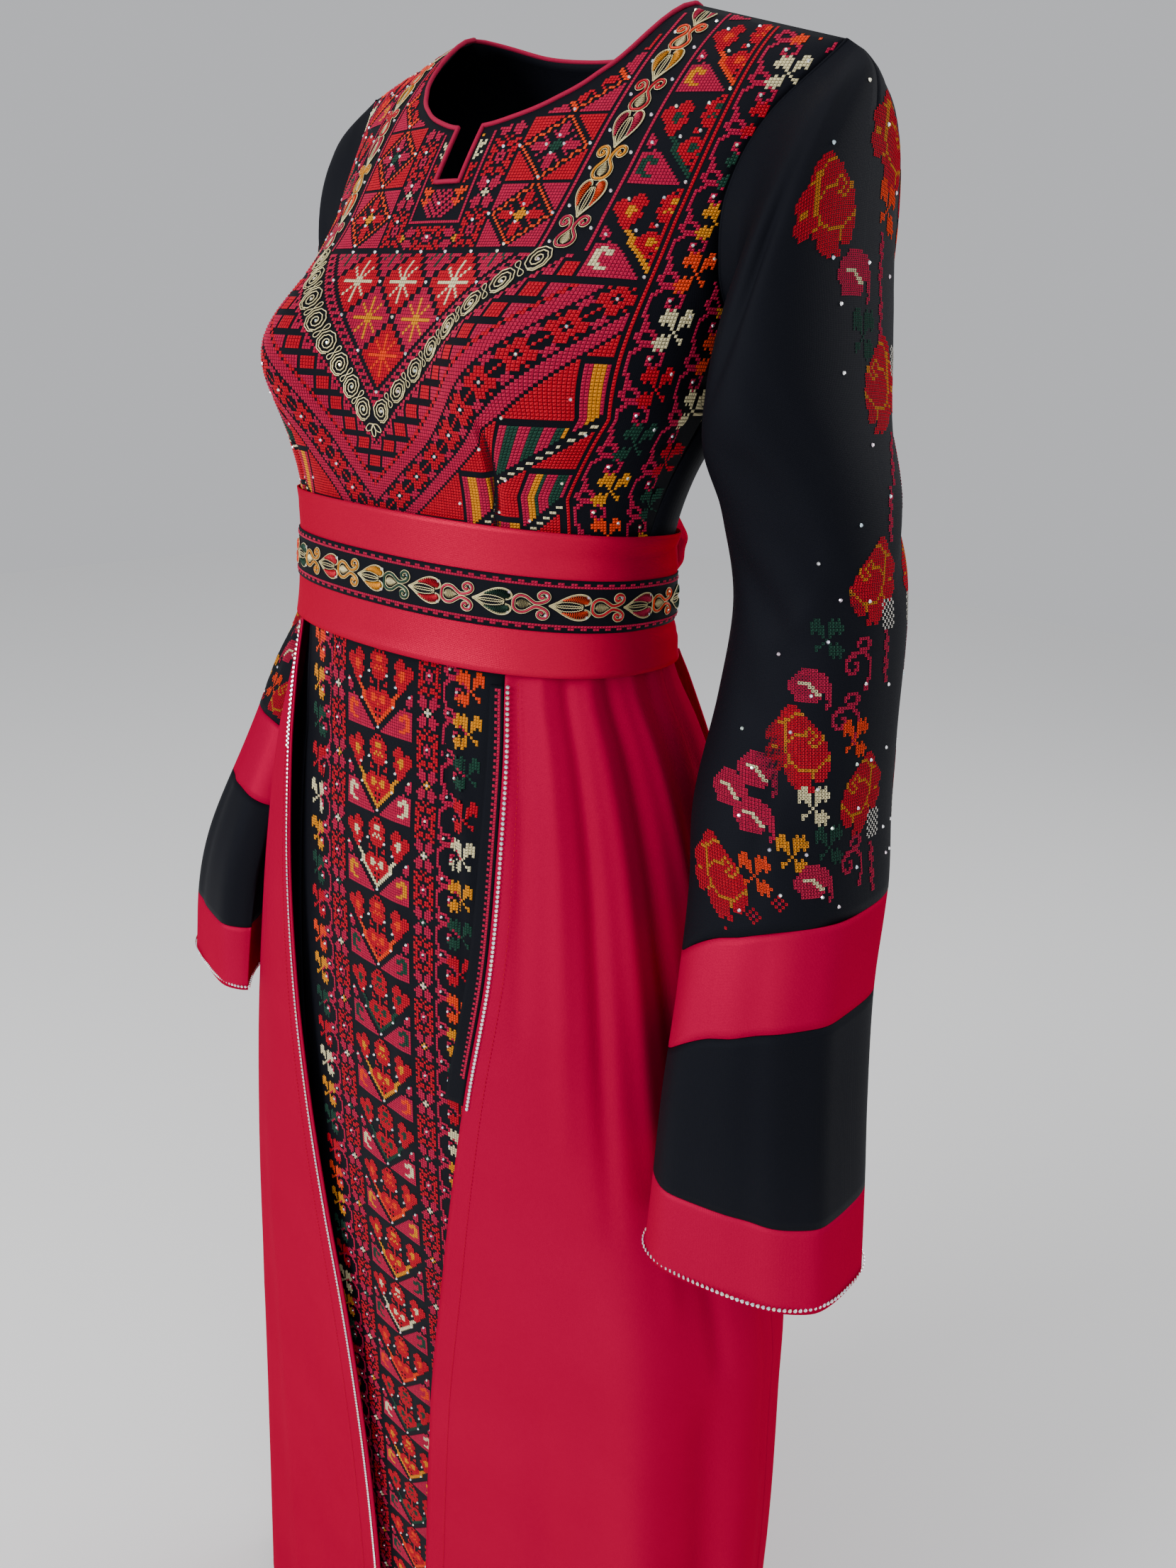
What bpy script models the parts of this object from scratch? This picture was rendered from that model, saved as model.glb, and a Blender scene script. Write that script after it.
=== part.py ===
"""Palestinian thobe dress, built from its cut pieces.

Metres, +Z up, the front faces -Y and the wearer's left is +X.
The origin is between the shoulders, level with the base of the neck.
"""
import bpy
import math
import numpy as np

# ---------------------------------------------------------------- named sizes
CREPE = 0.0016
SATIN = 0.0013
SEAM_GAP = 0.0005
GRADE = 0.92
WAIST_Z = -0.360
ARMPIT_Z = -0.200
TIP_Z = -0.050
SHOULDER_Y = 0.011
NECK_X = 0.094
NECK_Z = -0.022
TIP_X = 0.199
FRONT_ARC_Z = -0.290
BACK_ARC_Z = -0.130
FRONT_ARC_POWER = 1.4
BACK_ARC_POWER = 2.0
SLIT_HALF = 0.011
SLIT_TOP_Z = -0.094
SLIT_FOOT_Z = -0.126
CUP_X = 0.097
CUP_Z = -0.222
CUP_DEPTH = 0.036
CUP_WIDTH = 0.047
CUP_HEIGHT = 0.046
DART_X = 0.092
DART_DEPTH = 0.0055
DART_WIDTH = 0.009
DART_TOP_Z = -0.262
BELT_TOP_Z = -0.314
BELT_FOOT_Z = -0.402
BELT_THICK = 0.0022
HEM_Z = -1.640
OVER_TOP_Z = -0.380
OVER_HEM_Z = -1.625
UNDER_INSET = 0.009
PANEL_HALF = 0.100
PIPING_RADIUS = 0.0018
SEAM_DIP_TURN = -30.0
RIGHT_DIP = 0.4
SIDE_SEAM_LEFT = 102.0
SIDE_SEAM_RIGHT = 254.0
SLEEVE_CLEAR = 0.0045
CUFF_TRIM_TOP = -0.7660
CUFF_TRIM_FOOT = -0.7695
BELT_TILT = 0.012
BELT_TILT_LOW = 0.004
BAND_REACH = 120.0
BELT_ROWS = (BELT_TOP_Z, -0.328, -0.342, -0.359, -0.375, -0.389, BELT_FOOT_Z)
KNOT_ANGLE = 158.0
KNOT_Z = -0.334
KNOT_HALF = (0.030, 0.018, 0.027)
TAIL_CLEAR = 0.022

# z, half width, side y, front y, back y, front power, back power
TORSO = np.array([
    [-0.430, 0.141, -0.066, -0.156, 0.026, 2.3, 2.3],
    [-0.360, 0.142, -0.066, -0.156, 0.023, 2.3, 2.3],
    [-0.314, 0.146, -0.064, -0.157, 0.026, 2.4, 2.3],
    [-0.290, 0.150, -0.056, -0.158, 0.033, 2.5, 2.3],
    [-0.250, 0.160, -0.036, -0.158, 0.050, 2.8, 2.4],
    [-0.200, 0.171, -0.008, -0.158, 0.070, 3.0, 2.6],
    [-0.150, 0.176, 0.004, -0.158, 0.083, 3.0, 2.8],
    [-0.130, 0.178, 0.007, -0.158, 0.086, 3.0, 3.0],
    [-0.090, 0.186, 0.010, -0.158, 0.086, 3.0, 3.0],
    [-0.050, 0.199, 0.011, -0.158, 0.086, 3.0, 3.0],
    [0.010, 0.199, 0.011, -0.158, 0.086, 3.0, 3.0],
])

# z, front edge share, back edge share
ARMHOLE = np.array([
    [-0.430, 1.000, 1.000],
    [-0.215, 1.000, 1.000],
    [-0.200, 0.998, 0.998],
    [-0.170, 0.972, 0.982],
    [-0.130, 0.940, 0.962],
    [-0.090, 0.945, 0.962],
    [-0.060, 0.985, 0.990],
    [-0.050, 1.000, 1.000],
    [0.010, 1.000, 1.000],
])

# x, neckline z in front
NECK_FRONT = np.array([
    [0.000, -0.094],
    [0.011, -0.094],
    [0.030, -0.090],
    [0.054, -0.081],
    [0.073, -0.068],
    [0.086, -0.050],
    [0.094, -0.022],
    [0.130, -0.022],
])

# x, neckline z behind
NECK_BACK = np.array([
    [0.000, -0.034],
    [0.030, -0.033],
    [0.060, -0.030],
    [0.094, -0.022],
    [0.130, -0.022],
])

# z, left half width, right half width, middle y, front y, back y, power
SKIRT = np.array([
    [-0.300, 0.149, 0.149, -0.060, -0.157, 0.030, 2.40],
    [-0.314, 0.146, 0.146, -0.064, -0.157, 0.026, 2.35],
    [-0.360, 0.142, 0.142, -0.066, -0.156, 0.023, 2.30],
    [-0.385, 0.142, 0.142, -0.066, -0.156, 0.024, 2.30],
    [-0.413, 0.147, 0.148, -0.065, -0.160, 0.031, 2.25],
    [-0.450, 0.161, 0.165, -0.060, -0.165, 0.052, 2.20],
    [-0.500, 0.177, 0.186, -0.055, -0.169, 0.074, 2.20],
    [-0.600, 0.197, 0.218, -0.045, -0.171, 0.094, 2.20],
    [-0.700, 0.213, 0.245, -0.035, -0.169, 0.104, 2.20],
    [-0.800, 0.234, 0.266, -0.030, -0.165, 0.107, 2.20],
    [-0.900, 0.256, 0.281, -0.028, -0.159, 0.105, 2.20],
    [-1.000, 0.262, 0.291, -0.028, -0.153, 0.103, 2.20],
    [-1.100, 0.267, 0.298, -0.028, -0.147, 0.101, 2.20],
    [-1.200, 0.269, 0.305, -0.028, -0.142, 0.101, 2.20],
    [-1.400, 0.277, 0.320, -0.028, -0.134, 0.103, 2.20],
    [-1.650, 0.298, 0.335, -0.028, -0.130, 0.108, 2.20],
])

# z, angle of the wearer's left front edge, angle of the right front edge
OVER_EDGES = np.array([
    [-0.370, 40.5, -44.0],
    [-0.413, 40.0, -43.0],
    [-0.450, 38.2, -36.0],
    [-0.500, 35.2, -30.0],
    [-0.600, 30.0, -25.0],
    [-0.700, 23.0, -21.0],
    [-0.800, 17.2, -17.0],
    [-0.900, 12.5, -13.5],
    [-1.000, 9.2, -10.2],
    [-1.100, 7.0, -8.2],
    [-1.200, 5.5, -6.8],
    [-1.300, 4.2, -6.0],
    [-1.420, 3.2, -5.5],
    [-1.650, 2.6, -5.2],
])

# angle, spread in degrees, height at the hem
FOLDS = np.array([
    [58.0, 11.0, 0.010],
    [90.0, 10.0, 0.014],
    [114.0, 9.0, 0.016],
    [137.0, 9.0, 0.015],
    [162.0, 10.0, 0.017],
    [188.0, 10.0, 0.015],
    [213.0, 9.0, 0.017],
    [238.0, 10.0, 0.014],
    [270.0, 11.0, 0.015],
    [296.0, 12.0, 0.011],
])

# z, distance of the belt from the body of the dress
BELT_OUT = np.array([
    [-0.440, 0.0056],
    [-0.402, 0.0054],
    [-0.375, 0.0050],
    [-0.345, 0.0026],
    [-0.300, 0.0019],
])

# sleeve seam: outer z, dip at the inner front
SLEEVE_SEAMS = np.array([
    [-0.523, 0.040],
    [-0.584, 0.040],
    [-0.709, 0.000],
    [-0.770, 0.000],
])

# outer x, outer z, inner x, inner z, middle y, depth to the front, power, slant
SLEEVE = np.array([
    [0.2150, -0.0575, 0.1735, -0.2050, 0.006, 0.060, 2.3, 0.00],
    [0.2260, -0.0760, 0.1730, -0.2150, 0.002, 0.066, 2.3, 0.00],
    [0.2325, -0.1150, 0.1730, -0.2300, -0.006, 0.072, 2.3, 0.00],
    [0.2395, -0.1700, 0.1735, -0.2500, -0.012, 0.076, 2.3, 0.00],
    [0.2500, -0.2300, 0.1740, -0.2750, -0.014, 0.075, 2.3, 0.00],
    [0.2680, -0.2900, 0.1800, -0.3120, -0.008, 0.062, 2.3, 0.00],
    [0.2800, -0.3500, 0.1860, -0.3550, -0.004, 0.058, 2.3, 0.00],
    [0.2870, -0.4100, 0.1860, -0.4100, -0.010, 0.060, 2.3, 0.02],
    [0.2960, -0.4700, 0.1920, -0.4700, -0.028, 0.068, 2.4, 0.05],
    [0.3070, -0.5230, 0.2040, -0.5230, -0.040, 0.066, 2.5, 0.10],
    [0.3140, -0.5840, 0.2120, -0.5840, -0.054, 0.063, 2.6, 0.14],
    [0.3270, -0.6500, 0.2160, -0.6500, -0.068, 0.058, 2.7, 0.18],
    [0.3380, -0.7090, 0.2190, -0.7090, -0.076, 0.053, 2.8, 0.21],
    [0.3460, -0.7700, 0.2200, -0.7700, -0.080, 0.049, 2.9, 0.24],
])

# sleeve row, how far the right sleeve lies back and in, share of its depth
RIGHT_SLEEVE = np.array([
    [-1.0, 0.000, 0.000, 1.00],
    [1.0, 0.018, 0.002, 0.92],
    [3.0, 0.034, 0.004, 0.82],
    [5.0, 0.036, 0.006, 0.84],
    [7.0, 0.036, 0.012, 0.90],
    [9.0, 0.028, 0.010, 0.95],
    [11.0, 0.006, -0.004, 1.00],
    [13.0, 0.000, -0.010, 1.00],
])


# ------------------------------------------------------------------- formulas
def lookup(table, column, x):
    """Smooth value of one table column at x."""
    xs = table[:, 0]
    ys = table[:, column]
    slope = np.gradient(ys, xs)
    x = np.clip(np.asarray(x, dtype=float), xs[0], xs[-1])
    i = np.clip(np.searchsorted(xs, x, side="right") - 1, 0, len(xs) - 2)
    h = xs[i + 1] - xs[i]
    t = (x - xs[i]) / h
    a = (1 + 2 * t) * (1 - t) ** 2 * ys[i]
    b = t * (1 - t) ** 2 * h * slope[i]
    c = t * t * (3 - 2 * t) * ys[i + 1]
    d = t * t * (t - 1) * h * slope[i + 1]
    return a + b + c + d


SKIRT_UP = SKIRT[::-1]
EDGES_UP = OVER_EDGES[::-1]


def shoulder_z(x):
    """Height of the shoulder line."""
    fall = (TIP_Z - NECK_Z) / (TIP_X - NECK_X)
    return NECK_Z + fall * (np.abs(x) - NECK_X)


def arc(u, power):
    """Quarter arc that falls from one to nothing."""
    u = np.clip(u, 0.0, 1.0)
    return (1.0 - u ** power) ** (1.0 / power)


def bodice_point(share, z, front):
    """Point on the bodice at a share of the half width."""
    x = share * lookup(TORSO, 1, z)
    side = lookup(TORSO, 2, z)
    top = shoulder_z(x)
    if front:
        middle = lookup(TORSO, 3, z)
        power = lookup(TORSO, 5, z)
        start = FRONT_ARC_Z
        bend = FRONT_ARC_POWER
    else:
        middle = lookup(TORSO, 4, z)
        power = lookup(TORSO, 6, z)
        start = BACK_ARC_Z
        bend = BACK_ARC_POWER
    u = (z - start) / (top - start)
    fade = arc(u, bend)
    middle = SHOULDER_Y + (middle - SHOULDER_Y) * fade
    around = np.clip(1.0 - np.abs(share) ** power, 0.0, 1.0) ** (1.0 / power)
    y = side + (middle - side) * around
    if front:
        across = (np.abs(x) - CUP_X) / CUP_WIDTH
        along = (z - CUP_Z) / CUP_HEIGHT
        y = y - CUP_DEPTH * np.exp(-across ** 2 - along ** 2)
        ramp = np.clip((DART_TOP_Z - z) / 0.05, 0.0, 1.0)
        ramp = ramp * np.clip((z - WAIST_Z) / 0.03, 0.0, 1.0)
        dart = np.exp(-((np.abs(x) - DART_X) / DART_WIDTH) ** 2)
        y = y + DART_DEPTH * ramp * dart
        y = y - SEAM_GAP * 1.3
    else:
        y = y + SEAM_GAP * 1.3
    return np.stack([x, y, z + 0.0 * x], axis=-1)


def skirt_point(angle, z, out=0.0):
    """Point on the skirt ring at an angle in degrees from the front."""
    a = np.radians(angle)
    s = np.sin(a)
    c = np.cos(a)
    left = lookup(SKIRT_UP, 1, z)
    right = lookup(SKIRT_UP, 2, z)
    middle = lookup(SKIRT_UP, 3, z)
    front = lookup(SKIRT_UP, 4, z)
    back = lookup(SKIRT_UP, 5, z)
    power = 2.0 / lookup(SKIRT_UP, 6, z)
    blend = 0.5 + 0.5 * np.tanh(s / 0.25)
    wide = right + (left - right) * blend + out
    x = wide * np.sign(s) * np.abs(s) ** power
    deep = np.where(c > 0, front - middle - out, middle - back - out)
    y = middle + deep * np.sign(c) * np.abs(c) ** power
    return np.stack([x, y, z + 0.0 * x], axis=-1)


def fold_height(angle, z):
    """Height of the overskirt folds."""
    turn = np.mod(np.asarray(angle, dtype=float), 360.0)
    ramp = np.clip((OVER_TOP_Z - 0.03 - z) / 0.75, 0.0, 1.0) ** 0.8
    total = 0.0 * turn * z
    for middle, spread, height in FOLDS:
        gap = np.mod(turn - middle + 180.0, 360.0) - 180.0
        total = total + height * np.exp(-(gap / spread) ** 2)
    return total * ramp


def keep_clear(point):
    """Push a sleeve point out of the skirt it rests against."""
    z = np.minimum(point[..., 2], -0.390)
    ramp = np.clip((OVER_TOP_Z - 0.03 - z) / 0.75, 0.0, 1.0) ** 0.8
    out = 0.0034 + 0.015 * ramp + SLEEVE_CLEAR
    x = point[..., 0]
    left = lookup(SKIRT_UP, 1, z)
    right = lookup(SKIRT_UP, 2, z)
    wide = np.where(x > 0, left, right) + out
    middle = lookup(SKIRT_UP, 3, z)
    y = point[..., 1] - middle
    front = middle - lookup(SKIRT_UP, 4, z)
    back = lookup(SKIRT_UP, 5, z) - middle
    deep = np.where(y < 0, front, back) + out
    power = lookup(SKIRT_UP, 6, z)
    level = np.abs(x / wide) ** power + np.abs(y / deep) ** power
    grow = np.maximum(level, 1e-6) ** (-1.0 / power)
    grow = np.where(point[..., 2] < -0.405, np.maximum(grow, 1.0), 1.0)
    return np.stack([x * grow, middle + y * grow, point[..., 2]], axis=-1)


def sleeve_point(turn, row, side):
    """Point on the sleeve, turn in degrees from the outer line."""
    w = np.radians(turn)
    ring_z = 0.5 * (TIP_Z + ARMPIT_Z) + 0.5 * (TIP_Z - ARMPIT_Z) * np.cos(w)
    share_f = lookup(ARMHOLE, 1, ring_z)
    share_b = lookup(ARMHOLE, 2, ring_z)
    front = bodice_point(share_f, ring_z, True)
    back = bodice_point(share_b, ring_z, False)
    hole = np.where((np.sin(w) >= 0)[..., None], front, back)
    hole = hole + np.array([SEAM_GAP * 2.0, 0.0, 0.0])
    rows = np.arange(len(SLEEVE))
    table = np.column_stack([rows, SLEEVE])
    k = np.maximum(row, 0.0)
    ox = lookup(table, 1, k)
    oz = lookup(table, 2, k)
    ix = lookup(table, 3, k)
    iz = lookup(table, 4, k)
    my = lookup(table, 5, k)
    deep = lookup(table, 6, k)
    power = 2.0 / lookup(table, 7, k)
    slant = lookup(table, 8, k)
    if side < 0:
        my = my + lookup(RIGHT_SLEEVE, 1, row)
        ox = ox - lookup(RIGHT_SLEEVE, 2, row)
        deep = deep * lookup(RIGHT_SLEEVE, 3, row)
    c = np.cos(w)
    s = np.sin(w)
    cc = np.sign(c) * np.abs(c) ** power
    ss = np.sign(s) * np.abs(s) ** power
    x = 0.5 * (ox + ix) + 0.5 * (ox - ix) * cc
    z = 0.5 * (oz + iz) + 0.5 * (oz - iz) * cc
    y = my - deep * ss + slant * (x - 0.5 * (ox + ix))
    ring = np.stack([x, y, z], axis=-1)
    share = np.clip((row + 1.0) / 3.0, 0.0, 1.0)[..., None]
    share = share * share * (3 - 2 * share)
    start = hole + np.stack([0.5 * (row + 1.0) * 0.02 + 0 * x, 0 * x, -0.006 * (row + 1.0) + 0 * x], axis=-1)
    point = start + (ring - start) * share
    return keep_clear(point * np.array([side, 1.0, 1.0]))


def over_edge(z, left):
    """Angle of an overskirt front edge."""
    return lookup(EDGES_UP, 1 if left else 2, z)


def over_point(angle, z, out=0.0):
    """Point on the overskirt."""
    rise = 0.0034 + 0.0 * z
    return skirt_point(angle, z, rise + fold_height(angle, z) + out)


def under_point(angle, z, out=0.0):
    """Point on the black skirt below the overskirt."""
    inset = UNDER_INSET * np.clip((-0.385 - z) / 0.10, 0.0, 1.0)
    return skirt_point(angle, z, out - inset)


def panel_edge(z):
    """Angle where the embroidered skirt panel ends."""
    wide = lookup(SKIRT_UP, 1, z)
    share = PANEL_HALF / wide
    power = lookup(SKIRT_UP, 6, z) / 2.0
    return np.degrees(np.arcsin(share ** power))


def band_drop(turn, low, side):
    """How far a sleeve seam dips towards the inner front."""
    if side < 0:
        low = low * RIGHT_DIP
    w = np.radians(turn - SEAM_DIP_TURN)
    dip = (0.5 - 0.5 * np.cos(w)) ** 4
    return low * dip


# ------------------------------------------------------------------- building
def fresh_scene():
    """Clear the scene and make the two collections."""
    for item in list(bpy.data.objects):
        bpy.data.objects.remove(item, do_unlink=True)
    for group in list(bpy.data.collections):
        bpy.data.collections.remove(group)
    parts = bpy.data.collections.new("thobe")
    bpy.context.scene.collection.children.link(parts)
    return parts


def colour(name, rgb, rough):
    """Plain material."""
    mat = bpy.data.materials.new(name)
    mat.use_nodes = True
    node = mat.node_tree.nodes["Principled BSDF"]
    node.inputs["Base Color"].default_value = (*rgb, 1.0)
    node.inputs["Roughness"].default_value = rough
    mat.diffuse_color = (*rgb, 1.0)
    return mat


def add_object(parts, name, points, faces, mat):
    """Make one mesh object."""
    mesh = bpy.data.meshes.new(name)
    mesh.from_pydata([tuple(GRADE * p) for p in points], [], faces)
    mesh.materials.append(mat)
    mesh.validate()
    mesh.update()
    item = bpy.data.objects.new(name, mesh)
    parts.objects.link(item)
    return item


def grid_faces(rows, cols, closed, skip, flip):
    """Quads of a grid of rows by columns."""
    faces = []
    last = cols if closed else cols - 1
    for r in range(rows - 1):
        for c in range(last):
            if (r, c) in skip:
                continue
            d = (c + 1) % cols
            quad = [r * cols + c, r * cols + d, (r + 1) * cols + d, (r + 1) * cols + c]
            if flip:
                quad.reverse()
            faces.append(quad)
    return faces


def sheet(parts, name, grid, mat, thick, closed=False, skip=(), flip=False, outward=False):
    """Cloth piece: a grid of points made solid with a wall."""
    rows, cols = grid.shape[:2]
    faces = grid_faces(rows, cols, closed, set(skip), flip)
    used = sorted({i for f in faces for i in f})
    place = {old: new for new, old in enumerate(used)}
    flat = grid.reshape(-1, 3)
    points = [flat[i] for i in used]
    faces = [[place[i] for i in f] for f in faces]
    item = add_object(parts, name, points, faces, mat)
    wall = item.modifiers.new("wall", "SOLIDIFY")
    wall.thickness = thick
    wall.offset = 1.0 if outward else -1.0
    wall.use_even_offset = False
    wall.use_rim = True
    return item


def tube(parts, name, path, away, radius, mat, sides=6):
    """Closed piping round a loop of points."""
    count = len(path)
    ahead = np.roll(path, -1, axis=0)
    behind = np.roll(path, 1, axis=0)
    along = ahead - behind
    along = along / np.linalg.norm(along, axis=1, keepdims=True)
    first = away - along * np.sum(away * along, axis=1, keepdims=True)
    first = first / np.linalg.norm(first, axis=1, keepdims=True)
    second = np.cross(along, first)
    points = []
    for k in range(count):
        for j in range(sides):
            w = 2.0 * math.pi * (j + 0.5) / sides
            points.append(path[k] + radius * (math.cos(w) * first[k] + math.sin(w) * second[k]))
    faces = []
    for k in range(count):
        n = (k + 1) % count
        for j in range(sides):
            m = (j + 1) % sides
            faces.append([k * sides + m, n * sides + m, n * sides + j, k * sides + j])
    return add_object(parts, name, points, faces, mat)


def front_columns():
    """Column shares of the bodice front."""
    half = [0.0, 0.26, 0.41, 0.468, 0.55, 0.60, 0.64, 0.72, 0.84, 0.945, 1.0]
    slit = SLIT_HALF / 0.175
    half = sorted(half + [slit, 0.14])
    return np.array([-v for v in reversed(half[1:])] + half)


def back_columns():
    """Column shares of the bodice back."""
    half = [0.0, 0.16, 0.31, 0.42, 0.472, 0.60, 0.72, 0.83, 0.92, 1.0]
    return np.array([-v for v in reversed(half[1:])] + half)


def edge_share(z, front):
    """Share of the half width where the armhole cuts the panel."""
    return lookup(ARMHOLE, 1 if front else 2, z)


def column_top(column, front):
    """Height where one column ends."""
    neck = NECK_FRONT if front else NECK_BACK
    x = abs(column) * TIP_X
    z = 0.0
    for _ in range(30):
        z = lookup(neck, 1, x) if x < NECK_X else shoulder_z(x)
        x = 0.5 * x + 0.5 * abs(column) * edge_share(z, front) * lookup(TORSO, 1, z)
    return float(z)


def bodice_grid(columns, lower, upper, front):
    """Grid of the bodice, from the waist to the neck and shoulder."""
    rows = []
    for z in lower:
        share = columns * edge_share(z, front)
        rows.append(bodice_point(share, np.full(len(columns), z), front))
    tops = np.array([column_top(c, front) for c in columns])
    for t in upper:
        z = ARMPIT_Z + (tops - ARMPIT_Z) * math.sin(0.5 * math.pi * t)
        share = columns * edge_share(z, front)
        rows.append(bodice_point(share, z, front))
    return np.array(rows)


def build_bodice(parts, black):
    """Front and back of the bodice."""
    slit_row = math.asin((SLIT_FOOT_Z - ARMPIT_Z) / (SLIT_TOP_Z - ARMPIT_Z)) * 2.0 / math.pi
    lower = [WAIST_Z, -0.335, -0.314, -0.295, -0.275, -0.255, -0.236, -0.218, ARMPIT_Z]
    upper = [0.0427, 0.161, 0.333, 0.433, slit_row, 0.54, 0.651, 0.766, 0.882, 0.96, 1.0]
    columns = front_columns()
    grid = bodice_grid(columns, lower, upper, True)
    middle = len(columns) // 2
    start = len(lower) + 4
    rows = grid.shape[0]
    skip = [(r, c) for r in range(start, rows - 1) for c in (middle - 1, middle)]
    sheet(parts, "bodice_front", grid, black, CREPE, skip=skip)
    back_lower = [WAIST_Z, -0.325, -0.290, -0.255, -0.225, ARMPIT_Z]
    back_upper = [0.0427, 0.161, 0.333, 0.54, 0.651, 0.766, 0.882, 0.96, 1.0]
    shares = back_columns()
    rear = bodice_grid(shares, back_lower, back_upper, False)
    sheet(parts, "bodice_back", rear, black, CREPE, flip=True)
    return grid, columns, start, rear, shares


def build_binding(parts, made, rose):
    """Piping round the neck opening and its slit."""
    grid, columns, start, rear, shares = made
    middle = len(columns) // 2
    last = grid.shape[0] - 1
    reach = [c for c in range(len(columns)) if 0.0 < columns[c] <= 0.4721]
    path = []
    away = []
    for c in reversed(reach[1:]):
        path.append(grid[last, c])
        away.append(grid[last, c] - grid[last - 2, c])
    corner = middle + 1
    side_out = np.array([-1.0, 0.0, 0.0])
    top_out = grid[last, corner] - grid[last - 2, corner]
    path.append(grid[last, corner])
    away.append(top_out / np.linalg.norm(top_out) + side_out)
    for r in range(last - 3, start, -2):
        path.append(grid[r, corner])
        away.append(side_out)
    up = grid[start, middle] - grid[start - 1, middle]
    up = up / np.linalg.norm(up)
    path.append(grid[start, corner])
    away.append(up + side_out)
    path.append(grid[start, middle])
    away.append(up)
    flip = np.array([-1.0, 1.0, 1.0])
    mirror_path = [p * flip for p in reversed(path[:-1])]
    mirror_away = [p * flip for p in reversed(away[:-1])]
    path += mirror_path
    away += mirror_away
    end = rear.shape[0] - 1
    for c in range(len(shares)):
        if abs(shares[c]) < 0.45:
            path.append(rear[end, c])
            away.append(rear[end, c] - rear[end - 2, c])
    path = np.array(path)
    away = np.array(away)
    length = np.linalg.norm(away, axis=1, keepdims=True)
    away = away / length
    inward = np.stack([-path[:, 0], SHOULDER_Y - path[:, 1], 0.0 * path[:, 0]], axis=1)
    inward = inward / np.maximum(np.linalg.norm(inward, axis=1, keepdims=True), 1e-6)
    share = np.clip((np.abs(path[:, :1]) - 0.055) / 0.025, 0.0, 1.0)
    away = away * (1.0 - share) + inward * share
    lift = np.where(length > 1.2, 1.41, 1.0)
    along = np.roll(path, -1, axis=0) - np.roll(path, 1, axis=0)
    along = along / np.linalg.norm(along, axis=1, keepdims=True)
    away = away - along * np.sum(away * along, axis=1, keepdims=True)
    away = away / np.linalg.norm(away, axis=1, keepdims=True)
    path = path + away * (PIPING_RADIUS + 0.0006) * lift
    tube(parts, "neck_binding", path, away, PIPING_RADIUS, rose)


def sleeve_row(z):
    """Sleeve table row that lies at a height."""
    rows = np.arange(len(SLEEVE), dtype=float)
    return np.interp(-z, -SLEEVE[:, 1], rows)


def sleeve_grid(turns, start, end, steps, side):
    """Grid of one sleeve piece between two seam lines."""
    if start is None:
        first = np.full(len(turns), -1.0)
    else:
        z, dip = SLEEVE_SEAMS[start]
        first = sleeve_row(z - band_drop(turns, dip, side) - SEAM_GAP)
    z, dip = SLEEVE_SEAMS[end]
    last = sleeve_row(z - band_drop(turns, dip, side))
    rows = []
    for t in np.linspace(0.0, 1.0, steps):
        rows.append(sleeve_point(turns, first + (last - first) * t, side))
    return np.array(rows)


def build_sleeves(parts, black, crimson, crystal):
    """Both sleeves, each from four bands and a cuff trim."""
    turns = np.arange(0.0, 360.0, 15.0)
    table = [
        ("sleeve", None, 0, 13, black, CREPE),
        ("sleeve_upper_band", 0, 1, 4, crimson, SATIN),
        ("sleeve_black_band", 1, 2, 5, black, SATIN),
        ("sleeve_cuff", 2, 3, 4, crimson, SATIN),
    ]
    for label, side in (("left", 1.0), ("right", -1.0)):
        for name, start, end, steps, mat, thick in table:
            grid = sleeve_grid(turns, start, end, steps, side)
            sheet(parts, name + "_" + label, grid, mat, thick, True, flip=side < 0)
        rows = []
        for z in (CUFF_TRIM_TOP, CUFF_TRIM_FOOT):
            row = np.full(len(turns), float(sleeve_row(z)))
            ring = sleeve_point(turns, row, side)
            middle = ring.mean(axis=0)
            away = (ring - middle) * np.array([1.0, 1.0, 0.0])
            away = away / np.linalg.norm(away, axis=1, keepdims=True)
            rows.append(ring + away * 0.0007)
        grid = np.array(rows)
        sheet(parts, "cuff_trim_" + label, grid, crystal, 0.0014, True, flip=side < 0, outward=True)


def tilted(angle, z):
    """Height of the belt, whose top sits a little lower behind."""
    share = (z - BELT_FOOT_Z) / (BELT_TOP_Z - BELT_FOOT_Z)
    drop = BELT_TILT_LOW + (BELT_TILT - BELT_TILT_LOW) * share
    return z - drop * (0.5 - 0.5 * np.cos(np.radians(angle)))


def belt_point(angle, z, out):
    """Point on the belt."""
    level = tilted(angle, z)
    return skirt_point(angle, level, lookup(BELT_OUT, 1, level) + out)


def build_belt(parts, crimson, black):
    """Belt, its embroidered band, knot and tails."""
    angles = np.arange(0.0, 360.0, 7.5)
    rows = [belt_point(angles, z, 0.0) for z in BELT_ROWS]
    sheet(parts, "belt", np.array(rows), crimson, BELT_THICK, True, flip=True, outward=True)
    angles = np.arange(-BAND_REACH, BAND_REACH + 1.0, 7.5)
    rows = [belt_point(angles, z, BELT_THICK + 0.0007) for z in BELT_ROWS[2:5]]
    sheet(parts, "belt_band", np.array(rows), black, 0.0010, flip=True, outward=True)
    build_knot(parts, crimson)


def knot_middle():
    """Middle of the knot with its two level directions."""
    base = belt_point(np.array([KNOT_ANGLE]), KNOT_Z, BELT_THICK)[0]
    turn = math.radians(KNOT_ANGLE)
    out = np.array([math.sin(turn), -math.cos(turn), 0.0])
    across = np.array([-out[1], out[0], 0.0])
    return base + out * (KNOT_HALF[1] + 0.0015), across, out


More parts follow.
